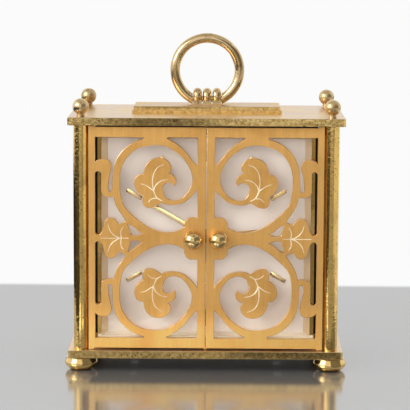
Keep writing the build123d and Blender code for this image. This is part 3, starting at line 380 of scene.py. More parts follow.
def plate_gilt(name, colours, face_value=1.0, satin=0.24, dark_reflection=1.0, dent_depth=0.13 * MM):
    """Plates: brushed above, polished and mottled round the edge, with a painted dark reflection
    there, and below rough and darkened with painted shade.
    """
    material, tree, out, place = new_material(name)
    facing = put(tree, "SeparateXYZ", in0=put(tree, "TexCoord").outputs["Normal"])
    upright = put(tree, "Math", {"operation": "ABSOLUTE"}, in0=facing.outputs["Z"])
    edge = put(tree, "MapRange", Value=upright.outputs[0], From_Min=0.75, From_Max=0.6)
    lines = grouped(tree, "brush", Vector=place, Spread=PLATE_LINES)
    mottle = grouped(tree, "mottle", Vector=place, Size=620.0, Start=0.35)
    worn = grouped(tree, "handling", Vector=place, Size=70.0)
    brushed = mixed(tree, worn.outputs["Mask"], opaque(colours.plate), opaque(colours.polished))
    face = put(tree, "HueSaturation", Value=face_value, Color=brushed)
    dented = ranged(tree, mottle.outputs["Height"], -1.6, 2.6)
    clean = mixed(tree, dented, opaque(colours.plate_edge), opaque(colours.plate_shine))
    # Painted dark reflection: the edge turns darker round a middle from left to right.
    along = put(tree, "SeparateXYZ", in0=place).outputs["X"]
    apart = put(tree, "Math", {"operation": "SUBTRACT"}, in0=along, in1=DARK_REFLECTION_MIDDLE)
    beside = put(tree, "Math", {"operation": "ABSOLUTE"}, in0=apart.outputs[0])
    share = put(tree, "MapRange", {"interpolation_type": "SMOOTHSTEP"}, Value=beside.outputs[0],
                From_Min=DARK_REFLECTION_REACH[0], From_Max=DARK_REFLECTION_REACH[1], To_Min=dark_reflection, To_Max=1.0)
    reflection_darkened = put(tree, "HueSaturation", Value=share.outputs[0], Color=clean)
    pitted = put(tree, "HueSaturation", Value=0.35, Color=reflection_darkened.outputs[0])
    rim = mixed(tree, mottle.outputs["Specks"], reflection_darkened.outputs[0], pitted.outputs[0])
    finished = mixed(tree, edge.outputs[0], face.outputs[0], rim)
    # Painted shade: faces that look down turn darker, and rough like unpolished brass.
    under = put(tree, "MapRange", Value=facing.outputs["Z"], From_Min=-0.6, From_Max=-0.8)
    underside_shade = put(tree, "HueSaturation", Value=0.22, Color=face.outputs[0])
    tone = mixed(tree, under.outputs[0], finished, underside_shade.outputs[0])
    brushing = ranged(tree, lines.outputs["Shade"], satin, satin + 0.12)
    gloss = ranged(tree, worn.outputs["Mask"], 0.1, 0.2)
    finished_rough = put(tree, "Mix", in0=edge.outputs[0], in2=brushing, in3=gloss)
    rough = put(tree, "Mix", in0=under.outputs[0], in2=finished_rough.outputs[0], in3=0.6)
    scratched = put(tree, "Bump", Strength=0.4, Distance=0.05 * MM, Height=lines.outputs["Height"])
    hammered = put(tree, "Bump", Strength=0.5, Distance=dent_depth,
                   Height=mottle.outputs["Height"])
    normal = put(tree, "Mix", {"data_type": "VECTOR"}, in0=edge.outputs[0],
                 in4=scratched.outputs[0], in5=hammered.outputs[0])
    shader = put(tree, "BsdfPrincipled", Metallic=1.0, Base_Color=tone,
                 Roughness=rough.outputs[0], Normal=normal.outputs[1])
    tree.links.new(shader.outputs[0], out.inputs["Surface"])
    return material


def surround_gilt(name, colours):
    """Satin gilding of the sloping frame, with a painted highlight on the faces that look up."""
    material, tree, out, place = new_material(name)
    lines = grouped(tree, "brush", Vector=place, Spread=LENGTHWISE_LINES)
    worn = grouped(tree, "handling", Vector=place, Size=55.0)
    patches = mixed(tree, worn.outputs["Mask"], opaque(colours.surround), opaque(colours.plate))
    facing = put(tree, "SeparateXYZ", in0=put(tree, "TexCoord").outputs["Normal"])
    # Painted highlight: faces that look up turn pale and less metallic.
    ledge = put(tree, "MapRange", Value=facing.outputs["Z"], From_Min=0.08, From_Max=0.2)
    tone = mixed(tree, ledge.outputs[0], patches, opaque(colours.ledge_highlight))
    bump = put(tree, "Bump", Strength=0.35, Distance=0.02 * MM, Height=lines.outputs["Height"])
    matt = put(tree, "Math", {"operation": "MULTIPLY", "use_clamp": True},
               in0=ledge.outputs[0], in1=0.35)
    metallic = put(tree, "Math", {"operation": "SUBTRACT"}, in0=0.4, in1=matt.outputs[0])
    shader = put(tree, "BsdfPrincipled", Metallic=metallic.outputs[0], Base_Color=tone,
                 Roughness=ranged(tree, lines.outputs["Shade"], 0.3, 0.42),
                 Normal=bump.outputs[0])
    tree.links.new(shader.outputs[0], out.inputs["Surface"])
    return material


def dial_paint(name, colour):
    """Silvered dial: matt, with the faintest upright grain and clouding."""
    material, tree, out, place = new_material(name)
    lines = grouped(tree, "brush", Vector=place, Spread=DIAL_LINES)
    cloud = grouped(tree, "handling", Vector=place, Size=22.0, Start=0.35, End=0.75)
    warm = put(tree, "HueSaturation", Value=0.95, Saturation=1.15, Color=opaque(colour))
    tone = mixed(tree, cloud.outputs["Mask"], opaque(colour), warm.outputs[0])
    bump = put(tree, "Bump", Strength=0.15, Distance=0.02 * MM, Height=lines.outputs["Height"])
    shader = put(tree, "BsdfPrincipled", Metallic=0.0, Base_Color=tone,
                 Roughness=ranged(tree, lines.outputs["Shade"], 0.42, 0.5),
                 Normal=bump.outputs[0])
    tree.links.new(shader.outputs[0], out.inputs["Surface"])
    return material


def case_shade_finish(name, colours):
    """Near black painted shade on the case, in patches, over a gilt lower edge."""
    material, tree, out, place = new_material(name)
    worn = grouped(tree, "handling", Vector=place, Size=45.0)
    mottle = grouped(tree, "mottle", Vector=place, Size=420.0)
    rubbed = tuple(2.0 * channel for channel in colours.gap_shade)
    # Painted shade: the case is near black, in patches.
    black = mixed(tree, worn.outputs["Mask"], opaque(colours.gap_shade), opaque(rubbed))
    height = put(tree, "SeparateXYZ", in0=place).outputs["Z"]
    foot = put(tree, "MapRange", Value=height, From_Min=CASE_FOOT[0],
               From_Max=CASE_FOOT[1])
    tone = mixed(tree, foot.outputs[0], black, opaque(colours.polished_deep))
    bump = put(tree, "Bump", Strength=0.2, Distance=0.02 * MM, Height=mottle.outputs["Height"])
    shader = put(tree, "BsdfPrincipled", Metallic=foot.outputs[0], Base_Color=tone,
                 Specular_IOR_Level=0.2,
                 Roughness=ranged(tree, worn.outputs["Mask"], 0.55, 0.7),
                 Normal=bump.outputs[0])
    tree.links.new(shader.outputs[0], out.inputs["Surface"])
    return material


def bezel_gilt(name, colours):
    """Polished gilding of the frame round the glass, with a painted highlight on its lower bar."""
    material, tree, out, place = new_material(name)
    mottle = grouped(tree, "mottle", Vector=place, Size=700.0, Start=0.42)
    worn = grouped(tree, "handling", Vector=place, Size=85.0)
    patches = mixed(tree, worn.outputs["Mask"], opaque(colours.bezel), opaque(colours.plate_edge))
    dark = put(tree, "HueSaturation", Value=0.4, Color=patches)
    clean = mixed(tree, mottle.outputs["Specks"], patches, dark.outputs[0])
    height = put(tree, "SeparateXYZ", in0=place).outputs["Z"]
    # Painted highlight: the lower bar turns pale and less metallic.
    ledge = put(tree, "MapRange", Value=height, From_Min=BEZEL_LEDGE[0],
                From_Max=BEZEL_LEDGE[1])
    tone = mixed(tree, ledge.outputs[0], clean, opaque(colours.ledge_highlight))
    bump = put(tree, "Bump", Strength=0.5, Distance=0.08 * MM, Height=mottle.outputs["Height"])
    shader = put(tree, "BsdfPrincipled", Base_Color=tone,
                 Metallic=ranged(tree, ledge.outputs[0], 1.0, 0.15),
                 Roughness=ranged(tree, worn.outputs["Mask"], 0.16, 0.28),
                 Normal=bump.outputs[0])
    tree.links.new(shader.outputs[0], out.inputs["Surface"])
    return material


def clear_glass(name):
    """Flat glass with faint smears. Light that falls on the dial passes it straight."""
    material, tree, out, place = new_material(name)
    smears = grouped(tree, "handling", Vector=place, Size=35.0)
    glass = put(tree, "BsdfPrincipled", Base_Color=(1, 1, 1, 1), Metallic=0.0,
                Transmission_Weight=1.0, IOR=1.45,
                Roughness=ranged(tree, smears.outputs["Mask"], 0.0, 0.03))
    open_air = put(tree, "BsdfTransparent")
    path = put(tree, "LightPath")
    passing = put(tree, "Math", {"operation": "MAXIMUM"},
                  in0=path.outputs["Is Shadow Ray"], in1=path.outputs["Is Diffuse Ray"])
    both = put(tree, "MixShader", in0=passing.outputs[0], in1=glass.outputs[0],
               in2=open_air.outputs[0])
    tree.links.new(both.outputs[0], out.inputs["Surface"])
    return material


def make_materials(colours):
    """Every finish, by the name of its slot or of its own."""
    GROUPS["brush"] = brush_lines_group()
    GROUPS["handling"] = handling_group()
    GROUPS["mottle"] = mottle_group()
    steel_dull = tuple(0.8 * channel for channel in colours.steel)
    return {
        "door_gilt": brushed_gilt("door gilt", colours.door, colours.door_deep, UPRIGHT_LINES,
                                  rough=0.42, depth=0.03 * MM, metallic=0.75,
                                  rail_light=DOOR_RAIL_LIGHT),
        "door_edge": polished_gilt("door edge", colours.plate, colours.door,
                                   rough=0.22, dent_depth=0.01 * MM),
        # The veins' pale, half metallic finish is a painted highlight of the cuts.
        "door_vein": brushed_gilt("door vein", colours.vein, colours.plate, UPRIGHT_LINES,
                                  rough=0.3, depth=0.01 * MM, metallic=0.3),
        "polished_gilt": polished_gilt("polished gilt", colours.polished,
                                       colours.polished_deep,
                                       rough=0.07, dent_depth=0.05 * MM),
        "plate_gilt": plate_gilt("plate gilt", colours),
        "top_gilt": plate_gilt("top plate gilt", colours, face_value=0.94, dark_reflection=0.48),
        "plinth_gilt": plate_gilt("plinth gilt", colours, face_value=0.92, satin=0.36,
                                  dent_depth=0.04 * MM),
        "bezel_gilt": bezel_gilt("bezel gilt", colours),
        "surround_gilt": surround_gilt("surround gilt", colours),
        "column_gilt": polished_gilt("column gilt", colours.column, colours.polished_deep,
                                     rough=0.08, dent_depth=0.17 * MM, dent_size=650.0,
                                     speck_start=0.4),
        "worn_gilt": polished_gilt("worn gilt", colours.worn, colours.worn_deep,
                                   rough=0.13, dent_depth=0.045 * MM, dent_size=420.0,
                                   speck_start=0.42),
        "knob_gilt": polished_gilt("knob gilt", colours.knob, colours.polished,
                                   rough=0.15, dent_depth=0.1 * MM, dent_size=520.0,
                                   speck_start=0.42),
        "finial_gilt": polished_gilt("finial gilt", colours.worn, colours.worn_deep,
                                     rough=0.27, dent_depth=0.15 * MM, dent_size=380.0,
                                     speck_start=0.42),
        "case_black": case_shade_finish("case lacquer", colours),
        "case_gilt": brushed_gilt("case gilt", colours.case, colours.polished_deep,
                                  UPRIGHT_LINES, rough=0.32, depth=0.04 * MM),
        "dial_silver": dial_paint("dial silver", colours.dial),
        "mark_gilt": polished_gilt("marker gilt", colours.marker, colours.plate_edge,
                                   rough=0.2, dent_depth=0.01 * MM),
        "clear_glass": clear_glass("clear glass"),
        "movement_brass": brushed_gilt("movement brass", colours.brass, colours.polished_deep,
                                       LENGTHWISE_LINES, rough=0.3, depth=0.03 * MM),
        "steel": brushed_gilt("steel", colours.steel, steel_dull, LENGTHWISE_LINES,
                              rough=0.26, depth=0.02 * MM),
        # Painted shade in the screws' slots.
        "slot_shade": brushed_gilt("slot grime", SLOT_SHADE, SLOT_SHADE_PATCHES, LENGTHWISE_LINES,
                                   rough=0.6, depth=0.02 * MM, metallic=0.2),
        "spring_steel": brushed_gilt("blued steel", colours.blued, colours.steel,
                                     LENGTHWISE_LINES, rough=0.28, depth=0.02 * MM),
        "key_brass": polished_gilt("key brass", colours.polished, colours.polished_deep,
                                   rough=0.14, dent_depth=0.02 * MM),
    }


MATERIALS = {}


# Piece helpers


def linked(name, data):
    """A new object in the scene."""
    thing = bpy.data.objects.new(name, data)
    bpy.context.scene.collection.objects.link(thing)
    return thing


def linked_mesh(name, work):
    """A new object in the scene from a bmesh, which it frees."""
    mesh = bpy.data.meshes.new(name)
    work.to_mesh(mesh)
    work.free()
    return linked(name, mesh)


def add_piece(name, node, finishes):
    """A merged copy of a CAD node's mesh that stands for the node."""
    piece = linked(name, merged_copy(node, name))
    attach(piece, body_with(node))
    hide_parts(node)
    for finish in finishes:
        piece.data.materials.append(MATERIALS[finish])
    return piece


def body_with(node):
    """The name of the body that carries a node."""
    for body, nodes in frame["record"]["behaviour"]["bodies"].items():
        if node in nodes:
            return body
    raise RuntimeError("no body carries " + node)


def smooth(mesh):
    """Smooth shading, broken at sharp edges and where one finish meets another."""
    mesh.shade_smooth()
    mesh.set_sharp_from_angle(angle=math.radians(SMOOTH_ANGLE))
    work = bmesh.new()
    work.from_mesh(mesh)
    for edge in work.edges:
        if len({face.material_index for face in edge.link_faces}) > 1:
            edge.smooth = False
    work.to_mesh(mesh)
    work.free()


def merged_copy(node, name):
    """A copy of a node's mesh with its triangles merged into whole faces."""
    work = bmesh.new()
    work.from_mesh(frame["nodes"][node].data)
    bmesh.ops.remove_doubles(work, verts=work.verts, dist=MERGE_DISTANCE)
    bmesh.ops.dissolve_limit(
        work, angle_limit=math.radians(FLAT_ANGLE), verts=work.verts, edges=work.edges
    )
    mesh = bpy.data.meshes.new(name)
    work.to_mesh(mesh)
    work.free()
    mesh.materials.clear()
    return mesh


def evaluated_mesh(thing):
    """The mesh that an object's curve or modifiers make."""
    view = bpy.context.evaluated_depsgraph_get()
    return bpy.data.meshes.new_from_object(thing.evaluated_get(view), depsgraph=view)


def baked(piece):
    """Replaces a piece's mesh by what its modifiers make of it."""
    mesh = evaluated_mesh(piece)
    piece.modifiers.clear()
    piece.data = mesh
    smooth(mesh)


def add_bevel(piece, width, material=-1):
    """Softens a piece's sharp edges. The new faces take the material of that number."""
    bevel = piece.modifiers.new("edge", "BEVEL")
    bevel.width = width
    bevel.segments = 2
    bevel.limit_method = "ANGLE"
    bevel.angle_limit = math.radians(BEVEL_ANGLE)
    bevel.use_clamp_overlap = False
    bevel.material = material


def carve(piece, tool, crossing=False):
    """Cuts a tool's shape out of a piece. A crossing tool runs through itself."""
    cut = piece.modifiers.new(tool.name, "BOOLEAN")
    cut.operation = "DIFFERENCE"
    cut.solver = "EXACT"
    cut.use_self = crossing
    cut.object = tool
    baked(piece)
    bpy.data.objects.remove(tool)


def paint_tool(tool, finishes):
    """Gives a tool the materials of its piece. Its cuts show the last one."""
    for finish in finishes:
        tool.data.materials.append(MATERIALS[finish])
    last = [len(finishes) - 1] * len(tool.data.polygons)
    tool.data.polygons.foreach_set("material_index", last)


def softened(node, name, slot, width):
    """A node's own shape with its sharp edges softened."""
    piece = add_piece(name, node, (slot,))
    add_bevel(piece, width)
    baked(piece)


# Doors

# The veins of a leaf, as millimetres from the leaf's outer edge and above its middle,
# each with the tool's share of its full radius at the start and at the end.
LEAF_VEINS = [
    ([(34.6, 17.9), (32.6, 19.0), (31.1, 21.4), (30.6, 22.9)], 0.85, 1.0),
    ([(30.6, 22.9), (30.1, 26.8), (30.4, 29.6), (31.3, 32.1), (33.0, 34.0), (35.6, 35.0)],
     1.0, 0.62),
    ([(30.7, 22.9), (31.3, 24.7), (33.0, 26.6), (34.8, 27.5), (37.2, 27.9)], 1.0, 0.62),
    ([(30.6, 22.7), (29.3, 23.6), (27.4, 24.9), (24.6, 25.9)], 1.0, 0.62),
    ([(32.2, 19.2), (30.4, 19.0), (29.1, 18.4), (28.0, 17.0)], 0.9, 0.62),
    ([(9.1, 6.6), (10.6, 2.9), (13.7, 0.5), (15.5, 0.0)], 0.62, 1.0),
    ([(15.4, 0.2), (15.3, 3.5), (16.5, 5.5)], 0.95, 0.62),
]
LEAF_MIDRIB = ([(5.7, 0.0), (12.0, 0.0), (19.0, 0.0)], 0.7, 0.75)

# A leaf's face, its polished edges and its veins.
DOOR_FINISHES = ("door_gilt", "door_edge", "door_vein")


def vein_cutter(side, sizes):
    """The path of the engraver's tool over one leaf, as a mesh."""
    low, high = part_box("door_left")
    outer, front, middle = low.x, low.y, (low.z + high.z) / 2
    curve = bpy.data.curves.new("vein tool", "CURVE")
    curve.dimensions = "3D"
    curve.bevel_depth = sizes.vein_radius
    curve.bevel_resolution = 3
    curve.resolution_u = 8
    curve.use_fill_caps = True
    strokes = [(points, start, end, up) for points, start, end in LEAF_VEINS for up in (1, -1)]
    strokes.append((*LEAF_MIDRIB, 1))
    for points, start, end, up in strokes:
        spline = curve.splines.new("BEZIER")
        spline.bezier_points.add(len(points) - 1)
        for index, (across, above) in enumerate(points):
            knot = spline.bezier_points[index]
            share = index / (len(points) - 1)
            knot.co = (-side * (outer + across * MM), front - sizes.vein_lift,
                       middle + up * above * MM)
            knot.handle_left_type = knot.handle_right_type = "AUTO"
            knot.radius = start + (end - start) * share
    path = linked("vein path", curve)
    tool = linked("vein tool", evaluated_mesh(path))
    bpy.data.objects.remove(path)
    paint_tool(tool, DOOR_FINISHES)
    return tool


def pierced_leaf(node, name, side, sizes):
    """A door leaf with polished edges round its openings and engraved veins."""
    piece = add_piece(name, node, DOOR_FINISHES)
    add_bevel(piece, sizes.edge_width, material=DOOR_FINISHES.index("door_edge"))
    carve(piece, vein_cutter(side, sizes), crossing=True)


# Screws


def loose_parts(mesh):
    """The low and the high corner of each separate solid in a mesh, from left to right."""
    work = bmesh.new()
    work.from_mesh(mesh)
    waiting, parts = set(work.verts), []
    while waiting:
        reached, found = [waiting.pop()], []
        while reached:
            vert = reached.pop()
            found.append(vert.co.copy())
            for edge in vert.link_edges:
                other = edge.other_vert(vert)
                if other in waiting:
                    waiting.remove(other)
                    reached.append(other)
        low = Vector([min(point[axis] for point in found) for axis in range(3)])
        high = Vector([max(point[axis] for point in found) for axis in range(3)])
        parts.append((low, high))
    work.free()
    return sorted(parts, key=lambda part: (round(part[0].x, 5), round(part[0].z, 5)))


# How the slots were left when the screws were driven home, in degrees.
FIRST_SLOT_ANGLE = 25.0
NEXT_SLOT_ANGLE = 47.0


def slotted_screws(node, name, slot, sizes):
    """Screws that look to the rear, each with a slot across its head."""
    finishes = (slot, "slot_shade")
    piece = add_piece(name, node, finishes)
    work = bmesh.new()
    for index, (low, high) in enumerate(loose_parts(piece.data)):
        middle = (low + high) / 2
        middle.y = high.y
        turned = math.radians(FIRST_SLOT_ANGLE + NEXT_SLOT_ANGLE * index)
        size = (2.0 * (high.x - low.x), 2.0 * sizes.slot_depth, sizes.slot_width, 1.0)
        bmesh.ops.create_cube(work, size=1.0, matrix=Matrix.Translation(middle)
                              @ Matrix.Rotation(turned, 4, "Y") @ Matrix.Diagonal(size))
    tool = linked_mesh("slot tool", work)
    paint_tool(tool, finishes)
    carve(piece, tool)


# Operators


class DressOperator(bpy.types.Operator):
    """Common settings of the clock's operators"""

    bl_options = {"REGISTER", "UNDO"}


# The material slot that the record gives each node.
SLOTS = {entry["node"]: entry["material_slot"] for entry in frame["record"]["subparts"]}

# Finishes that differ from the slot's own, by how a node's name starts.
FINISHES = {"column_": "column_gilt", "top_plate": "top_gilt", "plinth_": "plinth_gilt",
            "ball_finials": "finial_gilt", "ring_handle": "worn_gilt",
            "handle_knuckles": "worn_gilt", "door_knob_": "knob_gilt"}


class CLOCK_OT_finishes(DressOperator):
    """Makes the finishes and puts one on every piece of the frame"""

    bl_idname = "clock.finishes"
    bl_label = "Finishes"

    def execute(self, context):
        MATERIALS.update(make_materials(context.scene.clock_colours))
        for name, node in frame["nodes"].items():
            own = [finish for start, finish in FINISHES.items() if name.startswith(start)]
            for slot in node.material_slots:
                slot.material = MATERIALS[own[0] if own else SLOTS[name]]
        return {"FINISHED"}


class CLOCK_OT_doors(DressOperator):
    """Makes both pierced door leaves"""

    bl_idname = "clock.doors"
    bl_label = "Door leaves"

    def execute(self, context):
        sizes = context.scene.clock_doors
        pierced_leaf("door_left", "pierced_leaf_left", -1, sizes)
        pierced_leaf("door_right", "pierced_leaf_right", 1, sizes)
        return {"FINISHED"}


class CLOCK_OT_screws(DressOperator):
    """Cuts the slots of the rear cover's screws"""

    bl_idname = "clock.screws"
    bl_label = "Screw slots"

    def execute(self, context):
        slotted_screws("rear_cover_screws", "cover_screws", "steel", context.scene.clock_trim)
        return {"FINISHED"}


class CLOCK_OT_dial(DressOperator):
    """Softens the hour markers and the hands"""

    bl_idname = "clock.dial"
    bl_label = "Dial furniture"

    def execute(self, context):
        sizes = context.scene.clock_trim
        softened("hour_markers", "markers", "mark_gilt", sizes.marker_edge)
        softened("hour_hand", "hour_pointer", "mark_gilt", sizes.marker_edge)
        softened("minute_hand", "minute_pointer", "mark_gilt", sizes.marker_edge)
        return {"FINISHED"}


def camera_matrix():
    """The camera's place and turn."""
    yaw, pitch, roll = (math.radians(a) for a in (CAMERA_YAW, CAMERA_PITCH, CAMERA_ROLL))
    forward = Vector((math.sin(yaw) * math.cos(pitch), math.cos(yaw) * math.cos(pitch),
                      -math.sin(pitch)))
    level = Vector((math.cos(yaw), -math.sin(yaw), 0.0))
    upward = level.cross(forward)
    right = math.cos(roll) * level + math.sin(roll) * upward
    top = -math.sin(roll) * level + math.cos(roll) * upward
    turn = Matrix((right, top, -forward)).transposed().to_4x4()
    return Matrix.Translation(Vector(CAMERA_PLACE) * MM) @ turn


def make_camera():
    """The camera at the place and lens of the fit."""
    camera = bpy.data.cameras.new("camera")
    camera.sensor_width = SENSOR_WIDTH
    camera.lens = FOCAL_PIXELS / PHOTO_WIDTH * SENSOR_WIDTH
    camera.clip_start = 0.05
    camera.clip_end = 50.0
    holder = linked("camera", camera)
    holder.matrix_world = camera_matrix()
    bpy.context.scene.camera = holder


def aimed(place, aim, front):
    """The place and turn at which something's front axis faces a point."""
    place = Vector(place)
    turn = (Vector(aim) - place).to_track_quat(front, "Y").to_matrix().to_4x4()
    return Matrix.Translation(place) @ turn


# The point that the softboxes face.
LAMP_AIM = (0.0, 0.0, 0.07)
# The softboxes: name, place, width, height, setting of the power, and whether metal shows it.
LAMPS = (
    ("key softbox", (-1.05, -0.75, 0.75), 0.8, 0.8, "key_power", True),
    ("fill softbox", (0.95, -0.75, 0.55), 0.6, 0.9, "fill_power", False),
    ("top softbox", (0.0, 0.1, 1.2), 1.2, 0.9, "top_power", False),
    ("front softbox", (-0.35, -1.35, 0.45), 0.9, 0.7, "front_power", False),
)


def softbox(name, place, width, height, power, mirrored):
    """A flat lamp that faces the clock."""
    lamp = bpy.data.lights.new(name, "AREA")
    lamp.shape = "RECTANGLE"
    lamp.size = width
    lamp.size_y = height
    lamp.energy = power
    holder = linked(name, lamp)
    holder.matrix_world = aimed(place, LAMP_AIM, "-Z")
    holder.visible_camera = False
    holder.visible_glossy = mirrored


# The point that the room's cards face.
ROOM_AIM = (0.0, 0.0, 0.1)
# The cards that only reflections show: name, place, the point that each faces, width, height
# and tone. A card may also have the tone of its clouds as a share of its own (deep), a turn
# in degrees (spin), or show only to rays on their way down (low).
CARDS = (
    ("left card", (-0.19, 0.2, 0.036), (0.0, 0.17, 0.036), 0.5, 0.078, 0.03, {"low": True}),
    ("low card", (0.0, -0.97, 0.001), None, 2.4, 1.7, 0.42, {"deep": 0.5}),
    ("floor shade", (-0.054, -1.26, 0.004), None, 0.06, 0.6, 0.14, {}),
    ("floor light", (0.06, -1.26, 0.004), None, 0.07, 0.6, 0.7, {}),
    ("dark floor", (-0.993, -0.578, 0.003), None, 1.24, 1.7, 0.05, {"deep": 2.0, "spin": -28.0}),
    ("near floor left", (-0.045, -0.069, 0.003), None, 0.11, 0.038, 0.36, {}),
    ("near floor right", (0.055, -0.069, 0.003), None, 0.09, 0.038, 0.16, {}),
    ("left glint", (-0.082, -0.14, 0.004), None, 0.045, 0.085, 1.8, {"spin": -12.0}),
    ("right glint", (-0.012, -0.115, 0.004), None, 0.03, 0.05, 1.8, {"spin": -55.0}),
    ("room card", (-0.9, -1.9, 0.9), ROOM_AIM, 2.4, 2.4, 0.95, {"deep": 0.85}),
    ("dark room", (1.2, -1.05, 0.5), ROOM_AIM, 2.6, 1.7, 0.22, {}),
    ("right card", (0.3, -0.14, 0.035), (0.0, -0.1, 0.035), 0.5, 0.15, 0.8, {"low": True}),
    ("ceiling card", (0.0, -0.35, 1.9), (0.0, -0.3, 0.1), 3.6, 3.2, 0.6, {}),
)
# The tint of a card and of its clouds.
CARD_TINT = (1.0, 0.96, 0.9)
CLOUD_TINT = (1.0, 0.93, 0.84)


def card_finish(name, tone, cloud_tone, low):
    """A glow on the card's front alone. A low card shows only to rays on their way down."""
    material, tree, out, place = new_material(name)
    cloud = grouped(tree, "handling", Vector=place, Size=6.0)
    colour = mixed(tree, cloud.outputs["Mask"], opaque(tone * part for part in CARD_TINT),
                   opaque(cloud_tone * part for part in CLOUD_TINT))
    glow = put(tree, "Emission", Color=colour, Strength=1.0)
    look = put(tree, "NewGeometry")
    hidden = look.outputs["Backfacing"]
    if low:
        back = put(tree, "SeparateXYZ", in0=look.outputs["Incoming"]).outputs["Z"]
        rising = put(tree, "Math", {"operation": "LESS_THAN"}, in0=back, in1=0.0)
        hidden = put(tree, "Math", {"operation": "MAXIMUM"}, in0=hidden,
                     in1=rising.outputs[0]).outputs[0]
    shown = put(tree, "MixShader", in0=hidden, in1=glow.outputs[0],
                in2=put(tree, "BsdfTransparent").outputs[0])
    tree.links.new(shown.outputs[0], out.inputs["Surface"])
    return material


def card(name, place, aim, width, height, tone, deep=0.8, spin=0.0, low=False):
    """A card seen only in reflections. Without a point to face it lies facing up."""
    aim = aim or (place[0], place[1], 1.0)
    turn = aimed(place, aim, "Z") @ Matrix.Rotation(math.radians(spin), 4, "Z")
    work = bmesh.new()
    bmesh.ops.create_grid(work, x_segments=1, y_segments=1, size=0.5,
                          matrix=turn @ Matrix.Diagonal((width, height, 1.0, 1.0)))
    piece = linked_mesh(name, work)
    piece.data.materials.append(card_finish(name, tone, tone * deep, low))
    for sight in ("visible_camera", "visible_diffuse", "visible_shadow", "visible_transmission"):
        setattr(piece, sight, False)


# The distance over which the floor fades into the backdrop.
FADE_WIDTH = 0.012
# The tone of the floor's clouds, as a share of its own.
FLOOR_CLOUDS = 0.985


def make_floor(settings):
    """A plain pale floor that keeps the clock's shadow."""
    material, tree, out, place = new_material("floor")
    cloud = grouped(tree, "handling", Vector=place, Size=3.0)
    tone = settings.floor_tone
    colour = mixed(tree, cloud.outputs["Mask"], opaque([tone] * 3),
                   opaque([tone * FLOOR_CLOUDS] * 3))
    matt = put(tree, "BsdfPrincipled", Base_Color=colour, Roughness=0.7)
    sheen = put(tree, "BsdfGlossy", Color=(1, 1, 1, 1), Roughness=0.13)
    table = put(tree, "MixShader", in0=settings.floor_gloss, in1=matt.outputs[0],
                in2=sheen.outputs[0])
    backdrop = put(tree, "Emission", Color=opaque(settings.backdrop), Strength=1.0)
    path = put(tree, "LightPath")
    mirrored = put(tree, "Math", {"operation": "MAXIMUM"}, in0=path.outputs["Is Glossy Ray"],
                   in1=path.outputs["Is Transmission Ray"])
    shares = []
    for centre, reach, sight in (
        (settings.floor_reach - settings.table_reach, settings.table_reach,
         path.outputs["Is Camera Ray"]),
        (0.0, settings.floor_reach, mirrored.outputs[0]),
    ):
        offset = put(tree, "VectorMath", {"operation": "SUBTRACT"}, in0=place,
                     in1=(0.0, centre, 0.0))
        apart = put(tree, "VectorMath", {"operation": "ABSOLUTE"}, in0=offset.outputs[0])
        sides = put(tree, "SeparateXYZ", in0=apart.outputs[0])
        distance = put(tree, "Math", {"operation": "MAXIMUM"}, in0=sides.outputs["X"],
                       in1=sides.outputs["Y"])
        away = put(tree, "MapRange", {"interpolation_type": "SMOOTHSTEP"},
                   Value=distance.outputs[0], From_Min=reach - FADE_WIDTH / 2,
                   From_Max=reach + FADE_WIDTH / 2)
        shares.append(put(tree, "Math", {"operation": "MULTIPLY"}, in0=away.outputs[0],
                          in1=sight).outputs[0])
    far = put(tree, "Math", {"operation": "MAXIMUM"}, in0=shares[0], in1=shares[1])
    shader = put(tree, "MixShader", in0=far.outputs[0], in1=table.outputs[0],
                 in2=backdrop.outputs[0])
    tree.links.new(shader.outputs[0], out.inputs["Surface"])
    work = bmesh.new()
    bmesh.ops.create_grid(work, x_segments=1, y_segments=1, size=settings.floor_span / 2)
    floor = linked_mesh("floor", work)
    floor.data.materials.append(material)


def make_world(settings):
    """White to the camera, to metal and to glass, and a plain level of light elsewhere."""
    world = bpy.data.worlds.new("studio")
    world.use_nodes = True
    tree = world.node_tree
    tree.nodes.clear()
    path = put(tree, "LightPath")
    seen = put(tree, "Math", {"operation": "MAXIMUM"}, in0=path.outputs["Is Camera Ray"],
               in1=path.outputs["Is Glossy Ray"])
    shown = put(tree, "Math", {"operation": "MAXIMUM"}, in0=seen.outputs[0],
                in1=path.outputs["Is Transmission Ray"])
    around = put(tree, "Background", Color=(1, 1, 1, 1), Strength=settings.ambient)
    white = put(tree, "Background", Color=opaque(settings.backdrop), Strength=1.0)
    both = put(tree, "MixShader", in0=shown.outputs[0], in1=around.outputs[0],
               in2=white.outputs[0])
    out = put(tree, "OutputWorld")
    tree.links.new(both.outputs[0], out.inputs["Surface"])
    bpy.context.scene.world = world


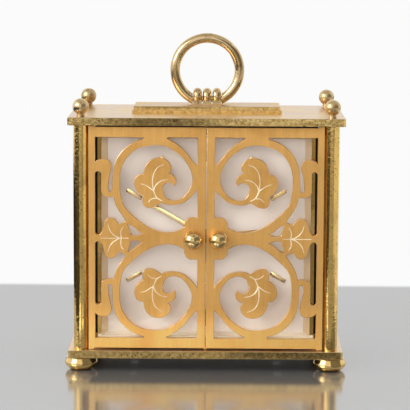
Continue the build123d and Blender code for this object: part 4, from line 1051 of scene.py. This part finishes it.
class CLOCK_OT_studio(DressOperator):
    """Makes the camera, the floor, the lamps and the cards"""

    bl_idname = "clock.studio"
    bl_label = "Studio"

    def execute(self, context):
        settings = context.scene.clock_studio
        make_camera()
        context.scene.view_settings.view_transform = "Standard"
        make_world(settings)
        make_floor(settings)
        for name, place, width, height, power, mirrored in LAMPS:
            softbox(name, place, width, height, getattr(settings, power), mirrored)
        for *layout, extras in CARDS:
            card(*layout, **extras)
        return {"FINISHED"}


class CLOCK_PT_panel(bpy.types.Panel):
    """Lists the clock's settings and operators"""

    bl_idname = "CLOCK_PT_panel"
    bl_label = "Desk clock"
    bl_space_type = "VIEW_3D"
    bl_region_type = "UI"
    bl_category = "Desk clock"

    def draw(self, context):
        for operator in OPERATORS:
            self.layout.operator(operator.bl_idname)
        for group in SETTINGS:
            settings = getattr(context.scene, group)
            box = self.layout.box()
            for label in settings.bl_rna.properties.keys():
                if label not in ("rna_type", "name"):
                    box.prop(settings, label)


OPERATORS = (CLOCK_OT_finishes, CLOCK_OT_studio, CLOCK_OT_doors, CLOCK_OT_dial,
             CLOCK_OT_screws)
SETTINGS = {
    "clock_doors": ClockDoorSizes,
    "clock_trim": ClockTrimSizes,
    "clock_colours": ClockColours,
    "clock_studio": ClockStudio,
}

def register():
    for settings in SETTINGS.values():
        bpy.utils.register_class(settings)
    for name, settings in SETTINGS.items():
        setattr(bpy.types.Scene, name, bpy.props.PointerProperty(type=settings))
    for operator in OPERATORS:
        bpy.utils.register_class(operator)
    bpy.utils.register_class(CLOCK_PT_panel)


def unregister():
    bpy.utils.unregister_class(CLOCK_PT_panel)
    for operator in reversed(OPERATORS):
        bpy.utils.unregister_class(operator)
    for name in SETTINGS:
        delattr(bpy.types.Scene, name)
    for settings in reversed(SETTINGS.values()):
        bpy.utils.unregister_class(settings)


def main():
    register()
    bpy.ops.clock.finishes()
    bpy.ops.clock.studio()
    bpy.ops.clock.doors()
    bpy.ops.clock.dial()
    bpy.ops.clock.screws()


if __name__ == "__main__":
    main()
